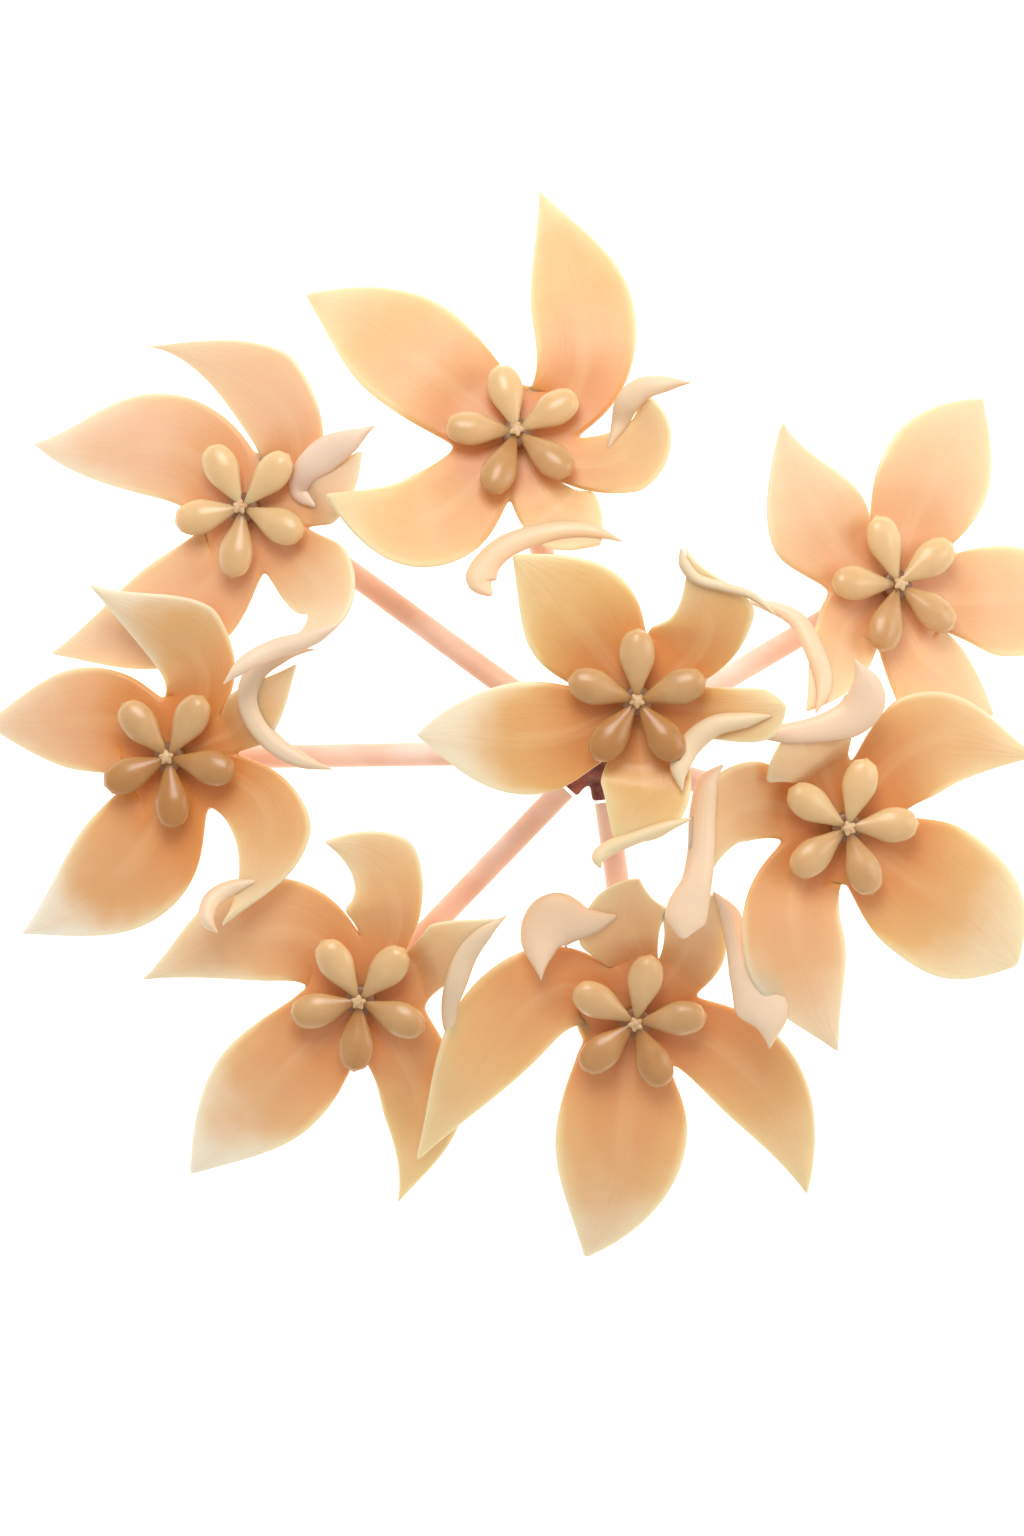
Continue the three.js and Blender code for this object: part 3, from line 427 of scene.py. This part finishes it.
def lobe_rows(plan, facing, east, north):
    """the rows of points of one lobe from the flower's centre to its tip, each from right to left,
    with how far along the lobe the row lies"""
    made, rib, start = plan["made"], plan["rib"], plan["start"]
    places = [2 * j / COLUMNS - 1 for j in range(COLUMNS + 1)]
    rows = []
    for k in range(DISC_ROWS + 1):
        reach = DISC_RADIUS * k / DISC_ROWS
        row = []
        for v in places:
            angle = plan["angle"] + v * (plan["left"] if v > 0 else plan["right"])
            row.append(reach * (cos(angle) * east + sin(angle) * north))
        rows.append((reach / DISC_RADIUS * plan["start"], row))
    leave = point_on(rib, start)
    tangent = tangent_on(rib, start)
    up = (facing - tangent * facing.dot(tangent)).normalized()
    step_off = DISC_RADIUS * (cos(plan["angle"]) * east + sin(plan["angle"]) * north) - leave
    for k in range(1, LOBE_ROWS + 1):
        share = 1 - (1 - k / LOBE_ROWS) ** CROWDING
        t = start + (1 - start) * share
        ahead = tangent_on(rib, t)
        up.rotate(tangent.rotation_difference(ahead))
        tangent = ahead
        side = up.cross(tangent)
        middle = point_on(rib, t) + step_off * (1 - ease(share / SETTLE))
        low = min(RIB_STEPS - 1, int(t * RIB_STEPS))
        shares = plan["shares"]
        along = shares[low] + (shares[low + 1] - shares[low]) * (t * RIB_STEPS - low)
        free = 1 - (1 - min(1, share / PART)) ** 2
        row = []
        for v in places:
            hand = "left" if v > 0 else "right"
            sector = plan[hand]
            wide = made["half"][0 if v > 0 else 1] * outline(along, made["widest"], made["taper"])
            wide = wide * free + DISC_RADIUS * sin(sector) * (1 - free)
            room = middle.length * sin(min(sector, SECTOR_LIMIT))
            wide = min(wide, room * (ROOM_AT_DISC + ROOM_GAIN * share * share)) if k < LOBE_ROWS else 0
            bow = DISC_RADIUS * (1 - cos(sector)) * (1 - ease(share / BOW_END))
            curl = radians(made["curl_" + hand]) * ease((t - CURL_START) / CURL_RUN)
            over, lift = across(abs(v), curl)
            reach = wide * over if v > 0 else -wide * over
            row.append(middle + side * reach + up * wide * lift - tangent * bow * v * v)
        rows.append((along, row))
    return rows


def merge_and_face_out(piece):
    """seals the seams of a closed piece and turns its faces outwards"""
    bpy.ops.object.select_all(action="DESELECT")
    piece.select_set(True)
    bpy.context.view_layer.objects.active = piece
    bpy.ops.object.mode_set(mode="EDIT")
    bpy.ops.mesh.select_all(action="SELECT")
    bpy.ops.mesh.remove_doubles(threshold=SEAM)
    bpy.ops.mesh.normals_make_consistent(inside=False)
    bpy.ops.object.mode_set(mode="OBJECT")


def join(name, parts):
    """joins meshes into one object under a new name"""
    bpy.ops.object.select_all(action="DESELECT")
    for part in parts:
        part.select_set(True)
    bpy.context.view_layer.objects.active = parts[0]
    if len(parts) > 1:
        bpy.ops.object.join()
    whole = bpy.context.object
    whole.name = name
    whole.data.name = name
    return whole


def apply_all(piece):
    """applies a piece's modifiers in order and smooths its faces"""
    bpy.ops.object.select_all(action="DESELECT")
    piece.select_set(True)
    bpy.context.view_layer.objects.active = piece
    for modifier in list(piece.modifiers):
        bpy.ops.object.modifier_apply(modifier=modifier.name)
    bpy.ops.object.shade_smooth()


def subdivide_smoothly(piece, levels):
    modifier = piece.modifiers.new("smooth", "SUBSURF")
    modifier.levels = modifier.render_levels = levels


def note(piece, name, values):
    """writes one number on each point of a piece, for its paint to read"""
    piece.data.attributes.new(name, "FLOAT", "POINT").data.foreach_set("value", values)


def petal_sheet(plan, facing, east, north, centre):
    """one lobe with its share of the disc, as a sheet with its colouring written on its points"""
    bpy.ops.mesh.primitive_grid_add(
        x_subdivisions=COLUMNS, y_subdivisions=DISC_ROWS + LOBE_ROWS, size=2, calc_uvs=True)
    sheet = bpy.context.object
    rows = lobe_rows(plan, facing, east, north)
    alongs, margins, beyonds = [], [], []
    body = sheet.vertex_groups.new(name="thickness")
    for vertex in sheet.data.vertices:
        v = -vertex.co.x
        k = round((vertex.co.y + 1) / 2 * (DISC_ROWS + LOBE_ROWS))
        j = round((v + 1) / 2 * COLUMNS)
        along, row = rows[k]
        beyond_disc = ease((k / (DISC_ROWS + LOBE_ROWS) - 1 + LOBE_SHARE) / THINNING)
        vertex.co = (row[j] + centre) * MM
        alongs.append(along)
        margins.append(abs(v) ** 3 * beyond_disc)
        beyonds.append(beyond_disc)
        body.add([vertex.index], max(0, 1 - v * v * beyond_disc) if k < len(rows) - 1 else 0, "REPLACE")
    note(sheet, "along", alongs)
    note(sheet, "margin", margins)
    note(sheet, "blush", [share * plan["made"]["blush"] for share in beyonds])
    # the painted sheen: a whitish highlight painted towards the tip
    note(sheet, "pale", [share * plan["made"]["pale"] for share in beyonds])
    return sheet


def between(points, share):
    """a smooth run through points: where it is at a share of its way from the first to the last"""
    place = share * (len(points) - 1)
    k = min(len(points) - 2, int(place))
    t = place - k
    before, start, end, after = (points[min(max(k + i, 0), len(points) - 1)] for i in (-1, 0, 1, 2))
    return (start * 2 + (end - before) * t + (before * 2 - start * 5 + end * 4 - after) * t ** 2
            + (start * 3 - before - end * 3 + after) * t ** 3) / 2


FOLD_HALF_DEPTH = 0.5
FOLD_SEAT = 0.5                     # the middle of a fold above the middle of the lobe
FOLD_SAG = 0.12                     # how far its sides hang, as a share of its half width
FOLD_THINNEST = 0.02
FOLD_ENDS = 6                       # each end rounds off within one part in this of the run
FOLD_TONE, FOLD_LIGHT_AND_SHADE_SWING = 0.62, 0.28     # its colour: as far along a lobe as this, swung by this much towards cream on top as painted light and deeper below as painted shade
GLIMPSE = 0.01                      # how far ahead and behind to look for the way it runs


def folded_margin(plan, facing, east, north, centre):
    """the part of a lobe that is folded back over it or rolled up: a rounded ribbon seated on the lobe
    along a run of points, given in mm from the flower's centre, each with any rise and its half width"""
    made = plan["made"]
    lobe_points = [point for _, row in lobe_rows(plan, facing, east, north) for point in row]
    run = []
    for x, y, lift, half in made["fold"]:
        under = min(lobe_points, key=lambda point: (point.x - x) ** 2 + (point.y - y) ** 2)
        run.append(Vector((x, y, under.z + FOLD_SEAT + lift, half)))
    bpy.ops.mesh.primitive_uv_sphere_add(segments=20, ring_count=40, radius=1)
    ribbon = bpy.context.object
    alongs = []
    for vertex in ribbon.data.vertices:
        share = min(1, max(0, 0.5 + asin(min(1, max(-1, vertex.co.z))) / pi))
        around = atan2(vertex.co.y, vertex.co.x)
        # painted light and shade: the ribbon's top is painted creamier and its underside deeper
        alongs.append(FOLD_TONE + FOLD_LIGHT_AND_SHADE_SWING * sin(around))
        here = between(run, share)
        ahead = between(run, min(1, share + GLIMPSE)) - between(run, max(0, share - GLIMPSE))
        side = ahead.to_3d().cross(facing).normalized()
        up = side.cross(ahead.to_3d()).normalized()
        close = min(1, FOLD_ENDS * min(share, 1 - share)) ** 0.5
        wide = max(FOLD_THINNEST, here[3]) * close
        deep = min(wide, FOLD_HALF_DEPTH * close)
        lift = deep * sin(around) - FOLD_SAG * wide * cos(around) ** 2
        vertex.co = (centre + here.to_3d() + side * wide * cos(around) + up * lift) * MM
    count = len(ribbon.data.vertices)
    note(ribbon, "along", alongs)
    note(ribbon, "margin", [0] * count)
    note(ribbon, "blush", [min(1, made["blush"] * 2)] * count)
    # the ribbon takes its lobe's painted sheen as well
    note(ribbon, "pale", [made["pale"]] * count)
    return ribbon


# The patterns in a petal. Blotches and skin are counted to the metre, and veins and broad waves are
# so many across and along a lobe. The waves also carry a painted sheen in lighter streaks.
BLOTCHES = 170
SKIN_GRAIN = 2600
VEINS = (26, 2.2, 1)
WAVES_AND_SHEEN = (3.2, 0.8, 1)
# the greyish white of the painted sheen at the ends of lobes
PAINTED_SHEEN_WHITE = linear(246, 238, 226)
# the cream that whole flowers are painted towards, as painted light
PAINTED_LIGHT_CREAM = linear(254, 232, 198)
CREAM_MARGIN_AND_RIM_LIGHT = linear(250, 228, 190)


def petal_paint(name, base, middle, tip, blush_colour, rough, glow=0.45):
    """waxy petal: deep at the base, cream towards the tip, with fine lengthwise veins"""
    paint = Paint(name, Subsurface_Weight=glow, Subsurface_Radius=(1.0, 0.82, 0.52),
                  Subsurface_Scale=0.0016, Coat_Weight=0.12, Coat_Roughness=0.35, Sheen_Weight=0.08)
    along = paint.attribute("along")
    margin = paint.attribute("margin")
    blotch = paint.grain(paint.place(), BLOTCHES, 3, 0.5)
    # margins lean towards the tip colours: partly their own paler colour, partly painted rim light
    reach = along + (blotch - 0.5) * 0.34 + margin * 0.2
    colour = paint.mix(reach.ramp(0.16, 0.72), base, middle)
    colour = paint.mix(reach.ramp(0.6, 1.05), colour, tip)
    colour = paint.mix(paint.attribute("blush") * (blotch * 0.7 + 0.4) * reach.ramp(0.1, 0.5),
                       colour, blush_colour)
    # painted sheen: a whitish highlight painted towards the ends of lobes, strongest where they curve
    # away
    colour = paint.mix(paint.attribute("pale") * reach.ramp(0.55, 0.95), colour, PAINTED_SHEEN_WHITE)
    veins = paint.grain(paint.stretch(paint.place("UV"), VEINS), 1.0, 4, 0.6)
    colour = paint.mix(veins.ramp(0.55, 0.85) * 0.3, colour, base)
    waves_and_sheen = paint.grain(paint.stretch(paint.place("UV"), WAVES_AND_SHEEN), 1.0, 2, 0.5)
    # painted sheen: lighter streaks painted along the broad waves, which also bump the surface
    colour = paint.mix(waves_and_sheen.ramp(0.45, 0.8) * 0.4, colour, tip)
    # painted light: whole flowers painted paler where more light falls on them
    colour = paint.mix(paint.attribute("painted_light_pale"), colour, PAINTED_LIGHT_CREAM)
    # the margin's cream is partly its own colour and partly a painted rim light along the edge
    colour = paint.mix(margin.ramp(0.55, 1.0) * 0.55, colour, CREAM_MARGIN_AND_RIM_LIGHT)
    skin = paint.grain(paint.place(), SKIN_GRAIN, 2, 0.6)
    height = veins * 0.3 + waves_and_sheen + skin * 0.1
    return paint.finish(Base_Color=colour, Roughness=skin * 0.12 + rough,
                        Normal=paint.bump(height, 0.4, 0.0003))


petal_face = petal_paint("petal inner face", linear(216, 144, 70), linear(224, 182, 114),
                         linear(238, 212, 158), linear(236, 184, 160), 0.34)
petal_back = petal_paint("petal outer face", linear(222, 156, 108), linear(232, 190, 144),
                         linear(240, 216, 178), linear(234, 176, 154), 0.42)
# painted light: the folds get a lighter copy of the petal paint, so they stay bright where they lie in
# shade
petal_fold_painted_lighter = petal_paint("petal fold painted lighter", linear(228, 152, 84), linear(238, 200, 142),
                         linear(248, 224, 178), linear(246, 196, 174), 0.34, glow=0)

PAINTED_LIGHT_PALENESS = {"front": 0, "left_upper": 0.25, "top": 0.1, "right_upper": 0.25, "right_lower": 0.05,
         "left_lower": 0.1, "bottom": 0.1, "left": 0}   # painted light: how much paler each flower is painted, most where the far lamp falls strongest

for name, flower in FLOWERS.items():
    facing, east, north, plans = lobe_plans(flower)
    centre = Vector(flower["at"])
    sheets = [petal_sheet(plan, facing, east, north, centre) for plan in plans]
    corolla = join("petals_" + name, sheets)
    bpy.ops.object.mode_set(mode="EDIT")
    bpy.ops.mesh.select_all(action="SELECT")
    bpy.ops.mesh.remove_doubles(threshold=SEAM)
    bpy.ops.object.mode_set(mode="OBJECT")
    corolla.data.materials.append(petal_face)
    corolla.data.materials.append(petal_back)
    wall = corolla.modifiers.new("petal", "SOLIDIFY")
    wall.thickness = PETAL_THICKNESS * MM
    wall.offset = 0
    wall.vertex_group = "thickness"
    wall.thickness_vertex_group = MARGIN_SHARE
    wall.material_offset = 1
    subdivide_smoothly(corolla, 2)
    apply_all(corolla)
    ribbons = [folded_margin(plan, facing, east, north, centre)
               for plan in plans if plan["made"]["fold"]]
    for ribbon in ribbons:
        ribbon.data.materials.append(petal_fold_painted_lighter)
        merge_and_face_out(ribbon)
        bpy.ops.object.shade_smooth()
    corolla = join("petals_" + name, [corolla, *ribbons])
    # painted light on the whole flower, written as a paleness
    note(corolla, "painted_light_pale", [PAINTED_LIGHT_PALENESS[name]] * len(corolla.data.vertices))
    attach(corolla, "root")
    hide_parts("corolla_" + name)


# ---- The coronas --------------------------------------------------------------------------------
# Each corona is a star of five glossy wax pods on a short column over the disc, one solid growth.
# The pods are cream above, full and round at the outer end, and narrow to a thin neck where they meet.
CORONA_STAND = 2.05                 # the middle of the pods above the middle of the disc
POD_REACH = 6.5
POD_HALF_WIDTH = 1.6
POD_HALF_DEPTH = 0.9
POD_LIFT = 0.35                     # how far its outer end rises
POD_WIDEST = 0.63                   # share of the way out
POD_NECK = 0.2                      # the neck's share of the full width
POD_SWELL = 1.7                     # how late it swells from the neck
POD_BLUNTNESS = 2.2                 # how full its outer end is; 2 is a half circle
POD_KEEL = 0.1                      # the low ridge along its top
POD_PACKING = 0.1                   # how far its rings of points are shifted towards its middle
POD_NECK_END = 0.03                 # the neck rounds off within this share

NECK_TAN, NECK_TAN_END = 0.35, 0.45 # how much browner the neck is, and how far out that reaches
POD_PAINTED_SHADE = 0.3                       # painted shade: how much browner pods are painted towards the near side, away from the far lamp
PODS = 5
POD_TAN = {"front": 0.75, "left_upper": 0.1, "top": 0.45, "right_upper": 0.35, "right_lower": 0.3,
           "left_lower": 0.5, "bottom": 0.55, "left": 0.75}   # how brown each flower's pods are


def set_upright(piece, flower):
    """carries a piece made on the origin to its flower, turned the way the flower faces"""
    turn = Vector((0, 0, 1)).rotation_difference(facing_of(flower)).to_matrix().to_4x4()
    piece.data.transform(Matrix.Translation(Vector(flower["at"]) * MM) @ turn)


def pod(angle, pod_brown_and_shade):
    """one pod: a ball drawn out along its axis and shaped like an egg with a neck"""
    bpy.ops.mesh.primitive_uv_sphere_add(segments=28, ring_count=22, radius=1)
    made = bpy.context.object
    brown_and_shade_values = []
    for vertex in made.data.vertices:
        share = min(1, max(0, 0.5 + asin(min(1, max(-1, vertex.co.z))) / pi))
        share = share + POD_PACKING * sin(2 * pi * share)
        around = atan2(vertex.co.y, vertex.co.x)
        if share < POD_WIDEST:
            swell = POD_NECK + (1 - POD_NECK) * sin(pi / 2 * (share / POD_WIDEST) ** POD_SWELL)
            girth = swell * min(1, share / POD_NECK_END) ** 0.5
        else:
            girth = (1 - ((share - POD_WIDEST) / (1 - POD_WIDEST)) ** POD_BLUNTNESS) ** 0.5
        keel = 1 + POD_KEEL * max(0, sin(around)) ** 6
        vertex.co = Vector((POD_REACH * share, POD_HALF_WIDTH * girth * cos(around),
                            POD_HALF_DEPTH * girth * sin(around) * keel + POD_LIFT * share ** 1.5)) * MM
        brown_and_shade_values.append(pod_brown_and_shade + NECK_TAN * (1 - ease(share / NECK_TAN_END)))
    note(made, "brown_and_shade", brown_and_shade_values)
    made.data.transform(Matrix.Rotation(angle, 4, "Z"))
    return made


wax = Paint("corona wax", Subsurface_Weight=0.6, Subsurface_Radius=(1.0, 0.7, 0.4),
            Subsurface_Scale=0.0014, Coat_Weight=0.35, Coat_Roughness=0.22)
cloud = wax.grain(wax.place(), 420, 3, 0.5)
# the pods' own brown, with painted shade mixed in towards the near side
brown_and_painted_shade = wax.attribute("brown_and_shade") + (cloud - 0.5) * 0.35
wax_colour = wax.mix(brown_and_painted_shade.ramp(0.0, 1.1), linear(234, 198, 144), linear(188, 130, 66))
wax_skin = wax.grain(wax.place(), 1500, 2, 0.5)
corona_wax = wax.finish(Base_Color=wax_colour, Roughness=wax_skin * 0.14 + 0.27,
                        Normal=wax.bump(wax_skin * 0.5 + cloud, 0.25, 0.0001))

for name, flower in FLOWERS.items():
    pods = []
    for k in range(PODS):
        angle = radians(flower["corona_turn"] + 360 / PODS * k)
        # painted shade makes the pods towards the near side browner
        pods.append(pod(angle, POD_TAN[name] - POD_PAINTED_SHADE * sin(angle)))
    corona = join("corona_star_" + name, pods)
    corona.data.transform(Matrix.Translation((0, 0, CORONA_STAND * MM)))
    set_upright(corona, flower)
    corona.data.materials.append(corona_wax)
    merge_and_face_out(corona)
    bpy.ops.object.shade_smooth()
    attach(corona, "root")
    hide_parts("corona_" + name)


# ---- The columns and style heads ----------------------------------------------------------------
# In the middle stands a short column, dark brown where it shows as five small glands between the
# necks of the pods, and on it sits the style head, a pale knot with five faint points.
COLUMN_RADII = ((0.75, 1.3), (1.3, 1.35), (1.8, 1.4), (2.1, 1.35), (2.25, 1.0))   # height, radius
STYLE_FOOT = 2.5
STYLE_RADIUS = 0.6
STYLE_HALF_HEIGHT = 0.3
STYLE_POINT = 0.2                   # how far its five points stand out
COLUMN_CAP = 0.35                   # where the column's flat ends begin, as a share of its width

gland = Paint("gland brown", Coat_Weight=0.3, Coat_Roughness=0.3)
gland_mottle = gland.grain(gland.place(), 1800, 3, 0.6)
gland_brown = gland.finish(
    Base_Color=gland.mix(gland_mottle, linear(96, 50, 22), linear(160, 104, 56)),
    Roughness=gland_mottle * 0.2 + 0.35, Normal=gland.bump(gland_mottle, 0.3, 0.0001))

knot = Paint("style head", Subsurface_Weight=0.4, Subsurface_Scale=0.001, Coat_Weight=0.2)
knot_mottle = knot.grain(knot.place(), 1600, 3, 0.6)
knot_cream = knot.finish(
    Base_Color=knot.mix(knot_mottle.ramp(0.35, 0.75), linear(226, 194, 148), linear(190, 144, 94)),
    Roughness=knot_mottle * 0.2 + 0.3, Normal=knot.bump(knot_mottle, 0.4, 0.0001))


def ball(segments, rings, shape):
    """a ball whose points are moved by shape(height from -1 to 1, angle around, radius) in mm"""
    bpy.ops.mesh.primitive_uv_sphere_add(segments=segments, ring_count=rings, radius=1)
    made = bpy.context.object
    for vertex in made.data.vertices:
        around = atan2(vertex.co.y, vertex.co.x)
        radius = Vector((vertex.co.x, vertex.co.y)).length
        vertex.co = Vector(shape(vertex.co.z, around, radius)) * MM
    return made


def level_radius(levels, share):
    """the radius at a share of the way up a list of (height, radius)"""
    place = share * (len(levels) - 1)
    low = min(len(levels) - 2, int(place))
    part = place - low
    return [a + (b - a) * part for a, b in zip(levels[low], levels[low + 1])]


for name, flower in FLOWERS.items():
    points = radians(flower["corona_turn"] + 180 / PODS)

    def column_shape(height, around, radius):
        tall, wide = level_radius(COLUMN_RADII, (height + 1) / 2)
        wide *= min(1, radius / COLUMN_CAP)
        return wide * cos(around), wide * sin(around), tall

    def knot_shape(height, around, radius):
        star = STYLE_RADIUS * radius * (1 + STYLE_POINT * cos(PODS * (around - points)))
        return star * cos(around), star * sin(around), STYLE_FOOT + STYLE_HALF_HEIGHT * (height + 1)

    column = ball(20, 14, column_shape)
    column.data.materials.append(gland_brown)
    head = ball(30, 14, knot_shape)
    head.data.materials.append(knot_cream)
    style = join("style_knot_" + name, [head, column])
    set_upright(style, flower)
    merge_and_face_out(style)
    bpy.ops.object.shade_smooth()
    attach(style, "root")
    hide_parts("style_head_" + name)


# ---- The calyces --------------------------------------------------------------------------------
# Behind each corolla is the calyx: a shallow pink cup that ends in five blunt sepals pressed against
# the disc. It is soft green tissue blushed pink, and the pedicel grows into it.
CALYX_TOP = -0.75
CALYX_DEPTH = 1.5
CALYX_RADII = (0.9, 1.25, 1.9, 2.6, 3.0)    # evenly up its height
CALYX_STEPS = len(CALYX_RADII) - 1
CALYX_CAP = 0.3                     # where its flat ends begin, as a share of its width
CALYX_DISH = 0.25
SEPAL_CUT = 0.2                     # the notches between the sepals, as a share of the rim's radius

downy = Paint("downy pink", Subsurface_Weight=0.25, Subsurface_Radius=(1.0, 0.72, 0.56),
              Subsurface_Scale=0.0012, Sheen_Weight=0.25, Sheen_Roughness=0.5)
flush = downy.grain(downy.place(), 130, 3, 0.5)
down = downy.grain(downy.place(), 3200, 2, 0.7)
pink_colour = downy.mix(flush.ramp(0.3, 0.72), linear(232, 190, 162), linear(248, 226, 212))
downy_pink = downy.finish(Base_Color=pink_colour, Roughness=down * 0.15 + 0.48,
                          Normal=downy.bump(down * 0.6 + flush * 0.4, 0.35, 0.00012))

for name, flower in FLOWERS.items():
    points = radians(flower["corona_turn"] + 180 / PODS)

    def calyx_shape(height, around, radius):
        share = (height + 1) / 2
        place = min(CALYX_STEPS - 1, int(share * CALYX_STEPS))
        part = share * CALYX_STEPS - place
        wide = CALYX_RADII[place] + (CALYX_RADII[place + 1] - CALYX_RADII[place]) * part
        cut = SEPAL_CUT * share * share
        cap = min(1, radius / CALYX_CAP)
        wide *= (1 - cut + cut * cos(PODS * (around - points))) * cap
        dish = -CALYX_DISH * (1 - cap) if height > 0 else 0
        return wide * cos(around), wide * sin(around), CALYX_TOP - CALYX_DEPTH * (1 - share) + dish

    calyx = ball(40, 16, calyx_shape)
    calyx.name = calyx.data.name = "sepals_" + name
    set_upright(calyx, flower)
    calyx.data.materials.append(downy_pink)
    merge_and_face_out(calyx)
    subdivide_smoothly(calyx, 1)
    apply_all(calyx)
    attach(calyx, "root")
    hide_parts("calyx_" + name)


# ---- The pedicels -------------------------------------------------------------------------------
# Each flower stands on its own pedicel, a round downy pink stalk. It springs sideways from the
# rachis, runs out under the umbel and turns up behind its flower, a little stouter at both ends.
RACHIS_AT = Vector((4.4, -2.6, 7))
RACHIS_RADIUS = 3.1
SOCKET_REACH = 1.5                  # from the rachis's side to where a pedicel starts
PEDICEL_RADIUS = 1.0
PEDICEL_TOP = 2.55                  # below the middle of the disc
PEDICEL_SLOPE = 0.35                # how steeply it leaves, as a share of the straight way up
LEAVING_REACH, ARRIVING_REACH = 0.45, 0.28  # how far each end runs straight, as shares of its span
ROOT_SWELL, TOP_SWELL = 1.08, 1.02


def pedicel_run(flower):
    """the two ends of a pedicel and the handles of the curve between them"""
    facing = facing_of(flower)
    top = Vector(flower["at"]) - facing * PEDICEL_TOP
    out = top - RACHIS_AT
    out.z *= PEDICEL_SLOPE
    out.normalize()
    socket = RACHIS_AT + out * (RACHIS_RADIUS + SOCKET_REACH)
    span = (top - socket).length
    return socket, socket + out * span * LEAVING_REACH, top - facing * span * ARRIVING_REACH, top


for name, flower in FLOWERS.items():
    socket, leaving, arriving, top = pedicel_run(flower)
    bpy.ops.curve.primitive_bezier_curve_add()
    stalk = bpy.context.object
    first, last = stalk.data.splines[0].bezier_points
    for point in (first, last):
        point.handle_left_type = point.handle_right_type = "FREE"
    first.co, first.handle_left, first.handle_right = (p * MM for p in (socket, socket, leaving))
    last.co, last.handle_left, last.handle_right = (p * MM for p in (top, arriving, top))
    first.radius, last.radius = ROOT_SWELL, TOP_SWELL
    stalk.data.resolution_u = 40
    stalk.data.bevel_depth = PEDICEL_RADIUS * MM
    stalk.data.bevel_resolution = 7
    stalk.data.use_fill_caps = True
    bpy.ops.object.convert(target="MESH")
    stalk = bpy.context.object
    stalk.name = stalk.data.name = "stalk_" + name
    stalk.data.materials.clear()
    stalk.data.materials.append(downy_pink)
    merge_and_face_out(stalk)
    bpy.ops.object.shade_smooth_by_angle(angle=radians(50))
    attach(stalk, "root")
    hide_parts("pedicel_" + name)


# ---- The rachis and the peduncle ----------------------------------------------------------------
# The rachis is the dark woody knob that every pedicel springs from, ringed with the stubby sockets
# they grow out of. Below it the stout peduncle is cut off square at the table.
RACHIS_HALF_HEIGHT = 2.7
KNOB_FULLNESS = 0.8                 # below 1 is squarer than a ball
KNOB_WAVE = 0.05
SOCKET_RADIUS = 1.25
SOCKET_FLARE = 1.15                 # how much stouter a socket is at the rachis
CLEARANCE = 0.3                     # from a socket to its pedicel, and from the knob to the peduncle
SKIN_VOXEL = 0.16
LUMP_SIZE = 1.1
LUMP_RISE = 0.09
PEDUNCLE_RADIUS = 1.6
WORN_EDGE = 0.18

bark = Paint("rachis bark", Subsurface_Weight=0.1, Subsurface_Scale=0.0008)
crust = bark.grain(bark.place(), 700, 6, 0.65)
pits = bark.node("ShaderNodeTexVoronoi", {}, {"Vector": bark.place(), "Scale": 900}, "Distance")
bark_colour = bark.mix(crust.ramp(0.3, 0.75), linear(96, 44, 36), linear(176, 104, 86))
rachis_bark = bark.finish(Base_Color=bark_colour, Roughness=crust * 0.25 + 0.5,
                          Normal=bark.bump(crust * 0.7 + pits * 0.5, 0.6, 0.0003))


def knob_shape(height, around, radius):
    wide = RACHIS_RADIUS * radius ** KNOB_FULLNESS * (1 + KNOB_WAVE * cos(3 * around + 4 * height))
    return (RACHIS_AT.x + wide * cos(around), RACHIS_AT.y + wide * sin(around),
            RACHIS_AT.z + RACHIS_HALF_HEIGHT * height)


lumps = [ball(48, 32, knob_shape)]
for flower in FLOWERS.values():
    socket = pedicel_run(flower)[0]
    out = (socket - RACHIS_AT).normalized()
    mouth = socket - out * CLEARANCE
    root = RACHIS_AT + out
    bpy.ops.mesh.primitive_cone_add(
        vertices=24, radius1=SOCKET_RADIUS * SOCKET_FLARE * MM, radius2=SOCKET_RADIUS * MM,
        depth=(mouth - root).length * MM)
    stub = bpy.context.object
    turn = Vector((0, 0, 1)).rotation_difference(out).to_matrix().to_4x4()
    stub.data.transform(Matrix.Translation((mouth + root) / 2 * MM) @ turn)
    lumps.append(stub)
rachis = join("rachis_knob", lumps)
skin = rachis.modifiers.new("one skin", "REMESH")
skin.mode = "VOXEL"
skin.voxel_size = SKIN_VOXEL * MM
round_off = rachis.modifiers.new("round off", "SMOOTH")
round_off.iterations = 4
apply_all(rachis)
for vertex in rachis.data.vertices:
    lump = noise.fractal(vertex.co / (LUMP_SIZE * MM), 1.0, 2.0, 3)
    vertex.co += vertex.normal * lump * LUMP_RISE * MM
rachis.data.materials.clear()
rachis.data.materials.append(rachis_bark)
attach(rachis, "root")
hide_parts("rachis")

PEDUNCLE_TOP = RACHIS_AT.z - RACHIS_HALF_HEIGHT - CLEARANCE
bpy.ops.mesh.primitive_cylinder_add(
    vertices=40, radius=PEDUNCLE_RADIUS * MM, depth=PEDUNCLE_TOP * MM,
    location=(RACHIS_AT.x * MM, RACHIS_AT.y * MM, PEDUNCLE_TOP / 2 * MM))
peduncle = bpy.context.object
peduncle.name = peduncle.data.name = "cut_stalk"
bpy.ops.object.transform_apply(location=True, rotation=False, scale=False)
edge = peduncle.modifiers.new("worn edges", "BEVEL")
edge.width = WORN_EDGE * MM
edge.segments = 3
apply_all(peduncle)
bpy.ops.object.shade_smooth_by_angle(angle=radians(40))
peduncle.data.materials.append(rachis_bark)
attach(peduncle, "root")
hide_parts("peduncle")
